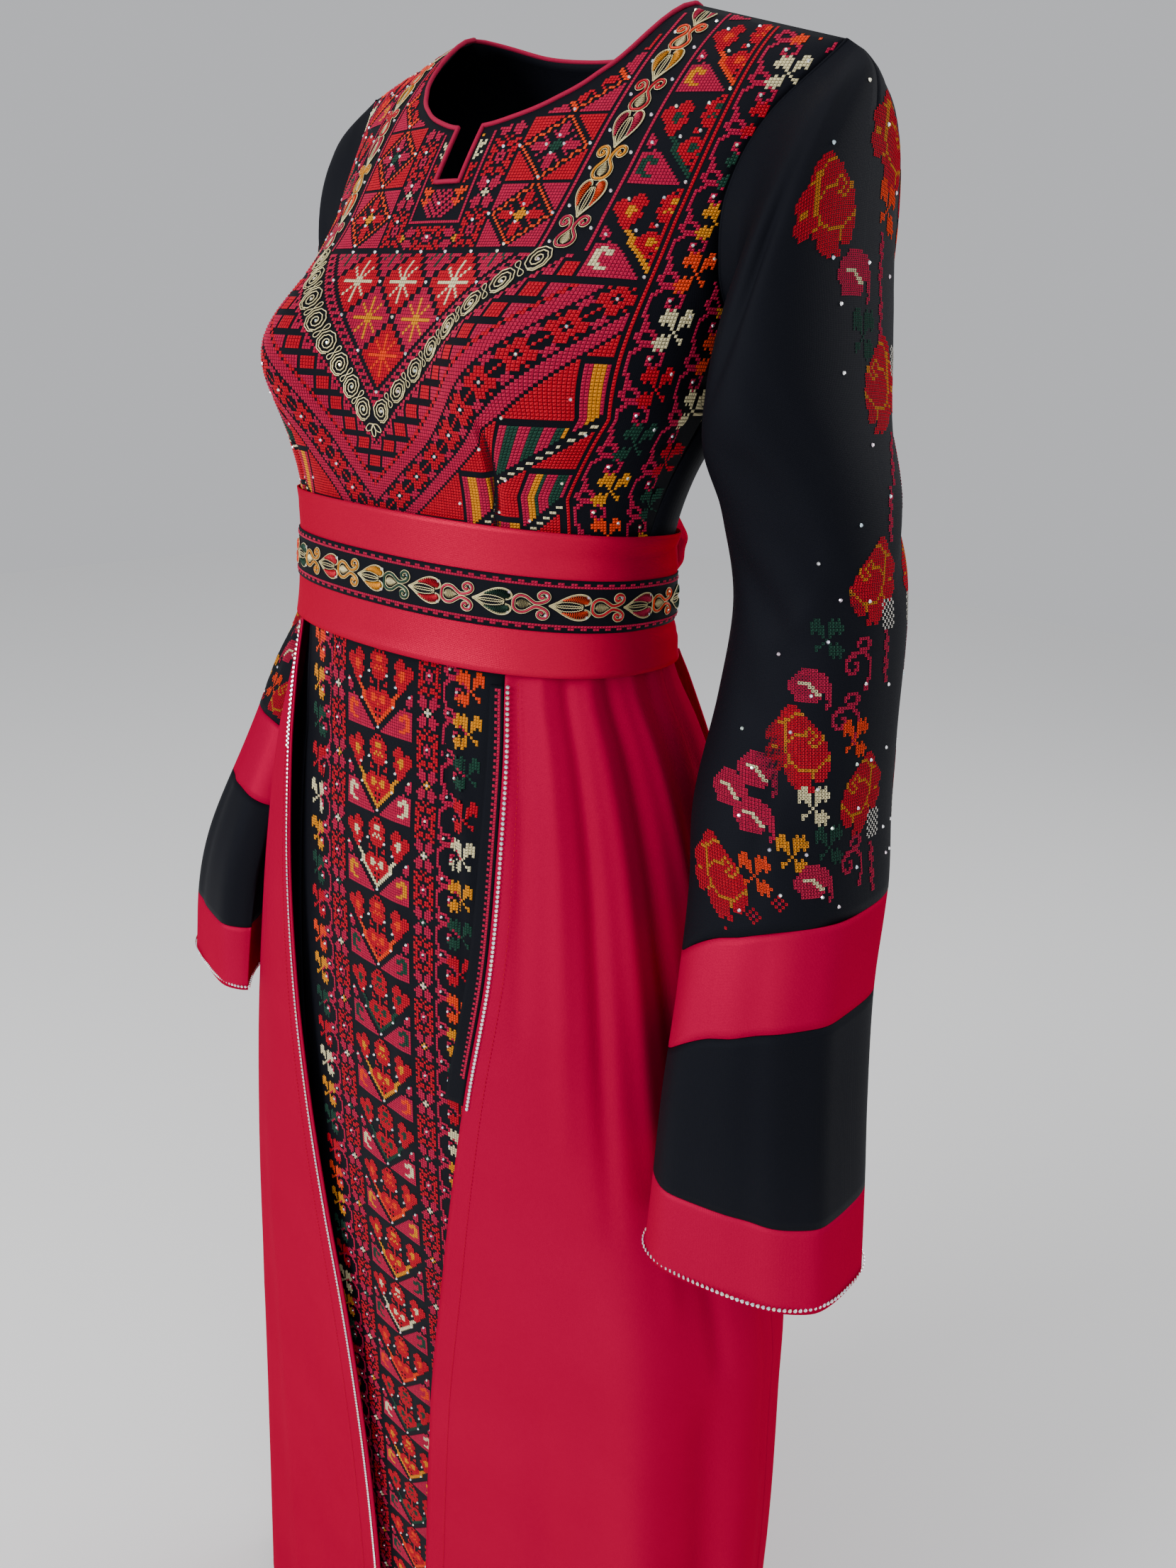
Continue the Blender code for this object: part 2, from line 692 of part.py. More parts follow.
def build_knot(parts, crimson):
    """Knot of the belt behind with its two hanging tails."""
    middle, across, out = knot_middle()
    up = np.array([0.0, 0.0, 1.0])
    wide, deep, high = KNOT_HALF
    points = []
    faces = []
    rings = 8
    turns = 14
    for i in range(1, rings):
        lat = math.pi * i / rings
        for j in range(turns):
            lon = 2.0 * math.pi * j / turns
            crumple = 1.0 + 0.06 * math.sin(3.0 * lon) * math.sin(lat) ** 2
            a = wide * math.sin(lat) * math.cos(lon) * crumple
            b = deep * math.sin(lat) * math.sin(lon) * crumple
            c = high * math.cos(lat)
            points.append(middle + across * a + out * b + up * c)
    top = len(points)
    points.append(middle + up * high)
    foot = len(points)
    points.append(middle - up * high)
    for i in range(rings - 2):
        for j in range(turns):
            k = (j + 1) % turns
            faces.append([i * turns + k, (i + 1) * turns + k, (i + 1) * turns + j, i * turns + j])
    for j in range(turns):
        k = (j + 1) % turns
        faces.append([top, k, j])
        low = (rings - 2) * turns
        faces.append([foot, low + j, low + k])
    add_object(parts, "belt_knot", points, faces, crimson)
    for label, lean, long in (("left", 1.0, 0.30), ("right", -1.0, 0.27)):
        grid = tail_grid(lean, long, 11, 7)
        sheet(parts, "belt_tail_" + label, grid, crimson, SATIN, flip=True, outward=True)


def tail_grid(lean, long, rows, cols):
    """Grid of one belt tail, whose top follows the underside of the knot."""
    middle, across, out = knot_middle()
    grid = []
    for t in np.linspace(0.0, 1.0, rows):
        centre_angle = KNOT_ANGLE - lean * (4.2 + 6.3 * t)
        wide = 2.4 + 3.2 * t
        angle = np.linspace(centre_angle - wide, centre_angle + wide, cols)
        clear = 0.0060 + 0.0140 * (1.0 - t) ** 2 + TAIL_CLEAR * t
        wave = 0.0020 * t * np.sin(np.linspace(0.0, 2.0 * math.pi, cols) + lean)
        level = middle[2] - KNOT_HALF[2] - long * t
        row = skirt_point(angle, np.full(cols, level), clear + wave)
        a = (row - middle) @ across / KNOT_HALF[0]
        b = (row - middle) @ out / KNOT_HALF[1]
        under = KNOT_HALF[2] * (1.0 - np.sqrt(np.clip(1.0 - a * a - b * b, 0.0, 1.0)))
        row[:, 2] += (under - 0.0006) * (1.0 - t) ** 3
        grid.append(row)
    return np.array(grid)


def build_skirts(parts, black, crimson, crystal):
    """Black skirt with its panel, the overskirt and its trims."""
    heights = [WAIST_Z - SEAM_GAP, -0.385, -0.413, -0.445, -0.48, -0.53, -0.60, -0.68]
    heights += [-0.77, -0.87, -0.98, -1.10, -1.22, -1.35, -1.49, HEM_Z]
    panel = []
    left = []
    back = []
    right = []
    for z in heights:
        edge = float(panel_edge(z))
        gap = math.degrees(SEAM_GAP / 0.15)
        angles = np.linspace(-edge, edge, 11)
        panel.append(under_point(angles, np.full(11, z)))
        angles = np.linspace(edge + gap, SIDE_SEAM_LEFT - 2.0 * gap, 8)
        left.append(under_point(angles, np.full(8, z)))
        angles = np.linspace(SIDE_SEAM_LEFT, SIDE_SEAM_RIGHT, 13)
        back.append(under_point(angles, np.full(13, z)))
        angles = np.linspace(SIDE_SEAM_RIGHT + 2.0 * gap, 360.0 - edge - gap, 8)
        right.append(under_point(angles, np.full(8, z)))
    sheet(parts, "skirt_panel", np.array(panel), black, CREPE, flip=True)
    sheet(parts, "underskirt_left", np.array(left), black, CREPE, flip=True)
    sheet(parts, "underskirt_back", np.array(back), black, CREPE, flip=True)
    sheet(parts, "underskirt_right", np.array(right), black, CREPE, flip=True)
    heights = [OVER_TOP_Z, -0.400, -0.425, -0.455, -0.50, -0.56, -0.63, -0.71]
    heights += [-0.80, -0.90, -1.00, -1.11, -1.23, -1.36, -1.49, OVER_HEM_Z]
    left = []
    back = []
    right = []
    gap = math.degrees(SEAM_GAP / 0.15)
    for z in heights:
        first = float(over_edge(z, True))
        last = float(over_edge(z, False))
        angles = np.linspace(first, SIDE_SEAM_LEFT - gap, 15)
        left.append(over_point(angles, np.full(15, z)))
        angles = np.linspace(SIDE_SEAM_LEFT, SIDE_SEAM_RIGHT, 31)
        back.append(over_point(angles, np.full(31, z)))
        angles = np.linspace(SIDE_SEAM_RIGHT + gap, 360.0 + last, 15)
        right.append(over_point(angles, np.full(15, z)))
    sheet(parts, "overskirt_left", np.array(left), crimson, SATIN, flip=True)
    sheet(parts, "overskirt_back", np.array(back), crimson, SATIN, flip=True)
    sheet(parts, "overskirt_right", np.array(right), crimson, SATIN, flip=True)
    build_trims(parts, black, crystal, np.array(left), np.array(right)[:, ::-1])


def strip_grid(grid, start, end, inner, outer, out):
    """Narrow strip along the first column of a grid, lifted off its faces."""
    heights = grid[:, 0, 2]
    levels = [start] + [z for z in heights if end - 1e-9 <= z < start - 0.004]
    rows = []
    for z in levels:
        i = int(np.searchsorted(-heights, -z, side="right")) - 1
        i = min(max(i, 0), len(heights) - 2)
        t = (z - heights[i]) / (heights[i + 1] - heights[i])
        row = grid[i] + (grid[i + 1] - grid[i]) * t
        across = row[1] - row[0]
        across = across / np.linalg.norm(across)
        down = grid[i + 1, 0] - grid[i, 0]
        up = np.cross(across, down)
        up = up / np.linalg.norm(up)
        if up[1] > 0:
            up = -up
        rows.append([row[0] + across * inner + up * out, row[0] + across * outer + up * out])
    return np.array(rows)


def build_trims(parts, black, crystal, left, right):
    """Crystal trims on both front edges and the black strip inside the left one."""
    top = BELT_FOOT_Z - 0.009
    grid = strip_grid(left, top, -0.712, 0.0010, 0.0050, 0.0006)
    sheet(parts, "edge_trim_left", grid, crystal, 0.0014, flip=True, outward=True)
    grid = strip_grid(right, top, -1.49, 0.0010, 0.0050, 0.0006)
    sheet(parts, "edge_trim_right", grid, crystal, 0.0014, outward=True)
    grid = strip_grid(left, top, -0.712, -0.0120, -0.0006, -0.0013)
    sheet(parts, "edge_strip_left", grid, black, 0.0012, flip=True, outward=True)


def build():
    """Build every piece."""
    parts = fresh_scene()
    black = colour("black_crepe", (0.012, 0.012, 0.016), 0.75)
    crimson = colour("crimson_satin", (0.38, 0.012, 0.035), 0.42)
    rose = colour("rose_piping", (0.46, 0.035, 0.085), 0.60)
    crystal = colour("crystal_trim", (0.80, 0.80, 0.82), 0.20)
    made = build_bodice(parts, black)
    build_binding(parts, made, rose)
    build_sleeves(parts, black, crimson, crystal)
    build_belt(parts, crimson, black)
    build_skirts(parts, black, crimson, crystal)


build()
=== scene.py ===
"""Looks of a palestinian thobe dress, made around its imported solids.

Metres, +Z up, the front faces -Y and the wearer's left is +X.
Tables are in pattern units, which GRADE turns into metres.
"""

import math
import bmesh
import bpy
import numpy as np
from mathutils import Matrix, Vector


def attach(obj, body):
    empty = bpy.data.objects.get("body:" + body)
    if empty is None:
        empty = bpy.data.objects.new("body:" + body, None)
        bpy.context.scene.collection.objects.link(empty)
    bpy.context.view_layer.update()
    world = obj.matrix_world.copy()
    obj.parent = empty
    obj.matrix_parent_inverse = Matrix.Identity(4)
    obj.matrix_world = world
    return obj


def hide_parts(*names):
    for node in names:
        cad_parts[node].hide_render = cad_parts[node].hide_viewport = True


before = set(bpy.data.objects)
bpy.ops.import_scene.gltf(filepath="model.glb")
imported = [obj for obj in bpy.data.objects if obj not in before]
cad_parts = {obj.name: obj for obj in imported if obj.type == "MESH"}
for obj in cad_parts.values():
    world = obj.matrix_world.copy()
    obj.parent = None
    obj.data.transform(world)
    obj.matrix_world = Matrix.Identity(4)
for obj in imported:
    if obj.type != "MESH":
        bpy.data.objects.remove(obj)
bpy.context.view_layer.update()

# ---------------------------------------------------------------- named sizes
GRADE = 0.92
STITCH = 0.00182
SIDES = (("left", 1.0), ("right", -1.0))
SEAM_GAP = 0.0005
WAIST_Z = -0.360
ARMPIT_Z = -0.200
TIP_Z = -0.050
SHOULDER_Y = 0.011
NECK_X = 0.094
NECK_Z = -0.022
TIP_X = 0.199
FRONT_ARC = (-0.290, 1.4)
BACK_ARC = (-0.130, 2.0)
SLIT_TOP_Z = -0.094
SLIT_FOOT_Z = -0.126
# slit edge and neck corner as shares of the half width
SLIT_SHARE = 0.0629
NECK_SHARE = 0.4722
# x, z, depth, width and height of a cup
CUP = (0.097, -0.222, 0.036, 0.047, 0.046)
BELT_TOP_Z = -0.314
BELT_FOOT_Z = -0.402
BELT_THICK = 0.0022
BAND_LOW = -0.3735
BAND_HIGH = -0.3415
BAND_REACH = 120.0
HEM_Z = -1.640
PANEL_TOP_Z = WAIST_Z - 0.0005
OVER_TOP_Z = -0.380
OVER_HEM_Z = -1.625
OVER_RISE = 0.0034
FOLD_START = 0.03
FOLD_LENGTH = 0.75
FOLD_REACH = 0.015
UNDER_TOP_Z = -0.385
UNDER_INSET = 0.009
PANEL_HALF = 0.100
SIDE_SEAM_LEFT = 102.0
SIDE_SEAM_RIGHT = 254.0
SLEEVE_CLEAR = 0.0045
CLEAR_TOP_Z = -0.390
CLEAR_FOOT_Z = -0.405
CAP_DRIFT = np.array([0.010, 0.0, -0.006])
SEAM_DIP_TURN = -30.0
RIGHT_DIP = 0.4
KNOT_ANGLE = 158.0
KNOT_Z = -0.334
KNOT_HALF = (0.030, 0.018, 0.027)
TAIL_CLEAR = 0.022
CUFF_TRIM_Z = -0.7665
# metres along the cloth for a degree round it
SLEEVE_DEGREE = 0.0015
BELT_DEGREE = 0.0030
SKIRT_DEGREE = 0.0044
CREPE_WALL = 0.0012
SATIN_WALL = 0.0011
THIN_WALL = 0.0010
# points nearer than this are joined
WELD = 0.00005
# stitches: distance from the cloth, rise, change of shade, gap to the next one in stitches
THREAD_OUT = 0.00022
THREAD_RISE = 0.00042
THREAD_FADE = 0.16
STITCH_GAP = 0.09
SLEEVE_STITCH_GAP = 0.13
# part of a sleeve row that stays bare above the seam
SEAM_BARE = 0.06
# depth and upper face of a cut stone as shares of its radius
STONE_DEPTH = 0.62
STONE_TABLE = 0.58
GEM_RADIUS = 0.00105
LARGE_GEM_RADIUS = 0.0011
TRIM_RADIUS = 0.00125
TRIM_PITCH = 0.0030

# z, half width, side y, front y, back y, front power, back power
TORSO = np.array([
    [-0.430, 0.141, -0.066, -0.156, 0.026, 2.3, 2.3],
    [-0.360, 0.142, -0.066, -0.156, 0.023, 2.3, 2.3],
    [-0.314, 0.146, -0.064, -0.157, 0.026, 2.4, 2.3],
    [-0.290, 0.150, -0.056, -0.158, 0.033, 2.5, 2.3],
    [-0.250, 0.160, -0.036, -0.158, 0.050, 2.8, 2.4],
    [-0.200, 0.171, -0.008, -0.158, 0.070, 3.0, 2.6],
    [-0.150, 0.176, 0.004, -0.158, 0.083, 3.0, 2.8],
    [-0.130, 0.178, 0.007, -0.158, 0.086, 3.0, 3.0],
    [-0.090, 0.186, 0.010, -0.158, 0.086, 3.0, 3.0],
    [-0.050, 0.199, 0.011, -0.158, 0.086, 3.0, 3.0],
    [0.010, 0.199, 0.011, -0.158, 0.086, 3.0, 3.0],
])

# z, front edge share, back edge share
ARMHOLE = np.array([
    [-0.430, 1.000, 1.000],
    [-0.215, 1.000, 1.000],
    [-0.200, 0.998, 0.998],
    [-0.170, 0.972, 0.982],
    [-0.130, 0.940, 0.962],
    [-0.090, 0.945, 0.962],
    [-0.060, 0.985, 0.990],
    [-0.050, 1.000, 1.000],
    [0.010, 1.000, 1.000],
])

# x, neckline z in front
NECK_FRONT = np.array([
    [0.000, -0.094],
    [0.011, -0.094],
    [0.030, -0.090],
    [0.054, -0.081],
    [0.073, -0.068],
    [0.086, -0.050],
    [0.094, -0.022],
    [0.130, -0.022],
])

# x, neckline z behind
NECK_BACK = np.array([
    [0.000, -0.034],
    [0.030, -0.033],
    [0.060, -0.030],
    [0.094, -0.022],
    [0.130, -0.022],
])

# z, left half width, right half width, middle y, front y, back y, power
SKIRT = np.array([
    [-0.300, 0.149, 0.149, -0.060, -0.157, 0.030, 2.40],
    [-0.314, 0.146, 0.146, -0.064, -0.157, 0.026, 2.35],
    [-0.360, 0.142, 0.142, -0.066, -0.156, 0.023, 2.30],
    [-0.385, 0.142, 0.142, -0.066, -0.156, 0.024, 2.30],
    [-0.413, 0.147, 0.148, -0.065, -0.160, 0.031, 2.25],
    [-0.450, 0.161, 0.165, -0.060, -0.165, 0.052, 2.20],
    [-0.500, 0.177, 0.186, -0.055, -0.169, 0.074, 2.20],
    [-0.600, 0.197, 0.218, -0.045, -0.171, 0.094, 2.20],
    [-0.700, 0.213, 0.245, -0.035, -0.169, 0.104, 2.20],
    [-0.800, 0.234, 0.266, -0.030, -0.165, 0.107, 2.20],
    [-0.900, 0.256, 0.281, -0.028, -0.159, 0.105, 2.20],
    [-1.000, 0.262, 0.291, -0.028, -0.153, 0.103, 2.20],
    [-1.100, 0.267, 0.298, -0.028, -0.147, 0.101, 2.20],
    [-1.200, 0.269, 0.305, -0.028, -0.142, 0.101, 2.20],
    [-1.400, 0.277, 0.320, -0.028, -0.134, 0.103, 2.20],
    [-1.650, 0.298, 0.335, -0.028, -0.130, 0.108, 2.20],
])[::-1]

# z, angle of the wearer's left front edge, angle of the right front edge
OVER_EDGES = np.array([
    [-0.370, 40.5, -44.0],
    [-0.413, 40.0, -43.0],
    [-0.450, 38.2, -36.0],
    [-0.500, 35.2, -30.0],
    [-0.600, 30.0, -25.0],
    [-0.700, 23.0, -21.0],
    [-0.800, 17.2, -17.0],
    [-0.900, 12.5, -13.5],
    [-1.000, 9.2, -10.2],
    [-1.100, 7.0, -8.2],
    [-1.200, 5.5, -6.8],
    [-1.300, 4.2, -6.0],
    [-1.420, 3.2, -5.5],
    [-1.650, 2.6, -5.2],
])[::-1]

# angle, spread in degrees, height at the hem
FOLDS = np.array([
    [58.0, 11.0, 0.010],
    [90.0, 10.0, 0.014],
    [114.0, 9.0, 0.016],
    [137.0, 9.0, 0.015],
    [162.0, 10.0, 0.017],
    [188.0, 10.0, 0.015],
    [213.0, 9.0, 0.017],
    [238.0, 10.0, 0.014],
    [270.0, 11.0, 0.015],
    [296.0, 12.0, 0.011],
])

# z, distance of the belt from the body of the dress
BELT_OUT = np.array([
    [-0.440, 0.0056],
    [-0.402, 0.0054],
    [-0.375, 0.0050],
    [-0.345, 0.0026],
    [-0.300, 0.0019],
])

# sleeve seam: outer z, dip at the inner front
SLEEVE_SEAMS = np.array([
    [-0.523, 0.040],
    [-0.584, 0.040],
    [-0.709, 0.000],
    [-0.770, 0.000],
])

# outer x, outer z, inner x, inner z, middle y, depth to the front, power, slant
SLEEVE = np.array([
    [0.2150, -0.0575, 0.1735, -0.2050, 0.006, 0.060, 2.3, 0.00],
    [0.2260, -0.0760, 0.1730, -0.2150, 0.002, 0.066, 2.3, 0.00],
    [0.2325, -0.1150, 0.1730, -0.2300, -0.006, 0.072, 2.3, 0.00],
    [0.2395, -0.1700, 0.1735, -0.2500, -0.012, 0.076, 2.3, 0.00],
    [0.2500, -0.2300, 0.1740, -0.2750, -0.014, 0.075, 2.3, 0.00],
    [0.2680, -0.2900, 0.1800, -0.3120, -0.008, 0.062, 2.3, 0.00],
    [0.2800, -0.3500, 0.1860, -0.3550, -0.004, 0.058, 2.3, 0.00],
    [0.2870, -0.4100, 0.1860, -0.4100, -0.010, 0.060, 2.3, 0.02],
    [0.2960, -0.4700, 0.1920, -0.4700, -0.028, 0.068, 2.4, 0.05],
    [0.3070, -0.5230, 0.2040, -0.5230, -0.040, 0.066, 2.5, 0.10],
    [0.3140, -0.5840, 0.2120, -0.5840, -0.054, 0.063, 2.6, 0.14],
    [0.3270, -0.6500, 0.2160, -0.6500, -0.068, 0.058, 2.7, 0.18],
    [0.3380, -0.7090, 0.2190, -0.7090, -0.076, 0.053, 2.8, 0.21],
    [0.3460, -0.7700, 0.2200, -0.7700, -0.080, 0.049, 2.9, 0.24],
])

# sleeve row, how far the right sleeve lies back and in, share of its depth
RIGHT_SLEEVE = np.array([
    [-1.0, 0.000, 0.000, 1.00],
    [1.0, 0.018, 0.002, 0.92],
    [3.0, 0.034, 0.004, 0.82],
    [5.0, 0.036, 0.006, 0.84],
    [7.0, 0.036, 0.012, 0.90],
    [9.0, 0.028, 0.010, 0.95],
    [11.0, 0.006, -0.004, 1.00],
    [13.0, 0.000, -0.010, 1.00],
])


def lookup(table, column, x):
    """Smooth value of one table column at x."""
    xs = table[:, 0]
    ys = table[:, column]
    slope = np.gradient(ys, xs)
    x = np.clip(np.asarray(x, dtype=float), xs[0], xs[-1])
    i = np.clip(np.searchsorted(xs, x, side="right") - 1, 0, len(xs) - 2)
    h = xs[i + 1] - xs[i]
    t = (x - xs[i]) / h
    a = (1 + 2 * t) * (1 - t) ** 2 * ys[i]
    b = t * (1 - t) ** 2 * h * slope[i]
    c = t * t * (3 - 2 * t) * ys[i + 1]
    d = t * t * (t - 1) * h * slope[i + 1]
    return a + b + c + d


def shoulder_z(x):
    """Height of the shoulder line."""
    fall = (TIP_Z - NECK_Z) / (TIP_X - NECK_X)
    return NECK_Z + fall * (np.abs(x) - NECK_X)


def arc(u, power):
    """Quarter arc that falls from one to nothing."""
    u = np.clip(u, 0.0, 1.0)
    return (1.0 - u ** power) ** (1.0 / power)


def rounded(part, power):
    """Sine or cosine drawn out towards a squarer ring."""
    return np.sign(part) * np.abs(part) ** power


def bodice_point(share, z, front, bulge=1.0):
    """Point on the bodice at a share of the half width."""
    x = share * lookup(TORSO, 1, z)
    side = lookup(TORSO, 2, z)
    middle = lookup(TORSO, 3 if front else 4, z)
    power = lookup(TORSO, 5 if front else 6, z)
    start, bend = FRONT_ARC if front else BACK_ARC
    fade = arc((z - start) / (shoulder_z(x) - start), bend)
    middle = SHOULDER_Y + (middle - SHOULDER_Y) * fade
    y = side + (middle - side) * arc(np.abs(share), power)
    if front:
        cup_x, cup_z, deep, wide, high = CUP
        across = (np.abs(x) - cup_x) / wide
        along = (z - cup_z) / high
        y = y - bulge * deep * np.exp(-across ** 2 - along ** 2) - SEAM_GAP
    else:
        y = y + SEAM_GAP
    return np.stack([x, y, z + 0.0 * x], axis=-1)


def skirt_ring(z):
    """Left and right half widths, middle, front, back and power of the skirt."""
    return [lookup(SKIRT, column, z) for column in range(1, 7)]


def skirt_point(angle, z, out=0.0):
    """Point on the skirt ring at an angle in degrees from the front."""
    a = np.radians(angle)
    s = np.sin(a)
    c = np.cos(a)
    left, right, middle, front, back, power = skirt_ring(z)
    blend = 0.5 + 0.5 * np.tanh(s / 0.25)
    wide = right + (left - right) * blend + out
    x = wide * rounded(s, 2.0 / power)
    deep = np.where(c > 0, front - middle - out, middle - back - out)
    y = middle + deep * rounded(c, 2.0 / power)
    return np.stack([x, y, z + 0.0 * x], axis=-1)


def fold_ramp(z):
    """Share of their full height that the folds have reached at a height."""
    return np.clip((OVER_TOP_Z - FOLD_START - z) / FOLD_LENGTH, 0.0, 1.0) ** 0.8


def fold_height(angle, z):
    """Height of the overskirt folds."""
    turn = np.mod(np.asarray(angle, dtype=float), 360.0)
    total = 0.0 * turn * z
    for middle, spread, height in FOLDS:
        gap = np.mod(turn - middle + 180.0, 360.0) - 180.0
        total = total + height * np.exp(-(gap / spread) ** 2)
    return total * fold_ramp(z)


def keep_clear(point):
    """Push a sleeve point out of the skirt it rests against."""
    x, y, height = point[..., 0], point[..., 1], point[..., 2]
    z = np.minimum(height, CLEAR_TOP_Z)
    left, right, middle, front, back, power = skirt_ring(z)
    out = OVER_RISE + FOLD_REACH * fold_ramp(z) + SLEEVE_CLEAR
    wide = np.where(x > 0, left, right) + out
    y = y - middle
    deep = np.where(y < 0, middle - front, back - middle) + out
    level = np.abs(x / wide) ** power + np.abs(y / deep) ** power
    grow = np.maximum(level, 1e-6) ** (-1.0 / power)
    grow = np.where(height < CLEAR_FOOT_Z, np.maximum(grow, 1.0), 1.0)
    return np.stack([x * grow, middle + y * grow, height], axis=-1)


def sleeve_point(turn, row, side):
    """Point on the sleeve, turn in degrees from the outer line."""
    w = np.radians(turn)
    c = np.cos(w)
    s = np.sin(w)
    hole_z = 0.5 * (TIP_Z + ARMPIT_Z) + 0.5 * (TIP_Z - ARMPIT_Z) * c
    front = bodice_point(lookup(ARMHOLE, 1, hole_z), hole_z, True)
    back = bodice_point(lookup(ARMHOLE, 2, hole_z), hole_z, False)
    hole = np.where((s >= 0)[..., None], front, back) + np.array([SEAM_GAP * 2.0, 0.0, 0.0])
    table = np.column_stack([np.arange(len(SLEEVE)), SLEEVE])
    outer_x, outer_z, inner_x, inner_z, middle, deep, power, slant = [
        lookup(table, column, np.maximum(row, 0.0)) for column in range(1, 9)]
    if side < 0:
        middle = middle + lookup(RIGHT_SLEEVE, 1, row)
        outer_x = outer_x - lookup(RIGHT_SLEEVE, 2, row)
        deep = deep * lookup(RIGHT_SLEEVE, 3, row)
    along = rounded(c, 2.0 / power)
    x = 0.5 * (outer_x + inner_x) + 0.5 * (outer_x - inner_x) * along
    z = 0.5 * (outer_z + inner_z) + 0.5 * (outer_z - inner_z) * along
    y = middle - deep * rounded(s, 2.0 / power) + slant * (x - 0.5 * (outer_x + inner_x))
    ring = np.stack([x, y, z], axis=-1)
    away = (row + 1.0)[..., None]
    share = np.clip(away / 3.0, 0.0, 1.0)
    share = share * share * (3 - 2 * share)
    start = hole + away * CAP_DRIFT
    return keep_clear((start + (ring - start) * share) * np.array([side, 1.0, 1.0]))


def over_edge(z, left):
    """Angle of an overskirt front edge."""
    return lookup(OVER_EDGES, 1 if left else 2, z)


def over_point(angle, z, out=0.0):
    """Point on the overskirt."""
    return skirt_point(angle, z, OVER_RISE + fold_height(angle, z) + out)


def under_point(angle, z):
    """Point on the black skirt below the overskirt."""
    return skirt_point(angle, z, -UNDER_INSET * np.clip((UNDER_TOP_Z - z) / 0.10, 0.0, 1.0))


def panel_edge(z):
    """Angle where the embroidered skirt panel ends."""
    share = PANEL_HALF / lookup(SKIRT, 1, z)
    return np.degrees(np.arcsin(share ** (lookup(SKIRT, 6, z) / 2.0)))


def band_drop(turn, low, side):
    """How far a sleeve seam dips towards the inner front."""
    if side < 0:
        low = low * RIGHT_DIP
    w = np.radians(turn - SEAM_DIP_TURN)
    return low * (0.5 - 0.5 * np.cos(w)) ** 4


def tilted(angle, z):
    """Height of the belt, whose top sits a little lower behind."""
    share = (z - BELT_FOOT_Z) / (BELT_TOP_Z - BELT_FOOT_Z)
    drop = 0.004 + 0.008 * share
    return z - drop * (0.5 - 0.5 * np.cos(np.radians(angle)))


def belt_point(angle, z, out):
    """Point on the belt."""
    level = tilted(angle, z)
    return skirt_point(angle, level, lookup(BELT_OUT, 1, level) + out)


def run_along(path):
    """Length of a path up to each of its points."""
    step = np.linalg.norm(np.diff(path, axis=0), axis=1)
    return np.concatenate([[0.0], np.cumsum(step)])


def between(path, at, marks=None):
    """Places on a path, by marks that rise from point to point."""
    if marks is None:
        marks = np.linspace(0.0, 1.0, len(path))
    return np.stack([np.interp(at, marks, column) for column in path.T], axis=1)


# ------------------------------------------------------------------- shading
class Field:
    """A shader socket that takes part in Python arithmetic."""

    def __init__(self, tree, socket):
        self.tree = tree
        self.socket = socket

    def math(self, kind, other=0.0, swap=False):
        pair = [other, self] if swap else [self, other]
        return self.tree.node("ShaderNodeMath", {"operation": kind}, dict(enumerate(pair)))[0]

    def __add__(self, other):
        return self.math("ADD", other)

    def __sub__(self, other):
        return self.math("SUBTRACT", other)

    def __rsub__(self, other):
        return self.math("SUBTRACT", other, True)

    def __mul__(self, other):
        return self.math("MULTIPLY", other)

    __radd__ = __add__
    __rmul__ = __mul__


class Cloth:
    """A material under construction: one Principled shader and what feeds it."""

    def __init__(self, name, **fixed):
        self.mat = bpy.data.materials.new(name)
        self.mat.use_nodes = True
        self.nodes = self.mat.node_tree.nodes
        self.links = self.mat.node_tree.links
        self.shader = self.nodes["Principled BSDF"]
        for key, value in fixed.items():
            self.shader.inputs[key.replace("_", " ")].default_value = value

    def node(self, kind, settings=None, feeds=None):
        item = self.nodes.new(kind)
        for key, value in (settings or {}).items():
            setattr(item, key, value)
        for key, value in (feeds or {}).items():
            if isinstance(value, Field):
                self.links.new(value.socket, item.inputs[key])
            else:
                item.inputs[key].default_value = value
        return [Field(self, out) for out in item.outputs]

    def sewn(self):
        """Place on the piece's own map."""
        return self.node("ShaderNodeUVMap")[0]

    def tint(self):
        """Colour of the thread or stone."""
        return self.node("ShaderNodeAttribute", {"attribute_name": "thread"})[0]

    def noise(self, scale, detail=2.0):
        """Soft change over the piece, in its object coordinates."""
        feeds = {"Vector": self.node("ShaderNodeTexCoord")[3], "Scale": scale, "Detail": detail}
        return self.node("ShaderNodeTexNoise", {}, feeds)[0]

    def mix(self, share, low, high, blend="MIX"):
        settings = {"data_type": "RGBA", "blend_type": blend}
        return self.node("ShaderNodeMix", settings, {0: share, 6: low, 7: high})[2]

    def bump(self, height, strength, distance):
        feeds = {"Height": height, "Strength": strength, "Distance": distance}
        self.feed("Normal", self.node("ShaderNodeBump", {}, feeds)[0])

    def feed(self, key, value):
        self.links.new(value.socket, self.shader.inputs[key])


def woven(name, dark, light, rough, grain, lustre, tint, gloss):
    """Cloth with fine crossing threads and a soft change of tone."""
    cloth = Cloth(name, Specular_IOR_Level=gloss, Metallic=lustre, Specular_Tint=tint)
    feeds = {"Vector": cloth.sewn(), "Scale": grain, "Distortion": 0.6}
    warp, weft = [cloth.node("ShaderNodeTexWave", {"bands_direction": way}, feeds)[1] for way in "XY"]
    fine = cloth.noise(1400.0)
    broad = cloth.noise(9.0, 3.0)
    cloth.feed("Base Color", cloth.mix(fine * 0.55 + broad * 0.45, dark, light))
    cloth.feed("Roughness", fine * 0.16 + (rough - 0.08))
    cloth.bump(warp * 0.35 + weft * 0.35 + fine * 0.6, 0.30, 0.0004)
    return cloth.mat


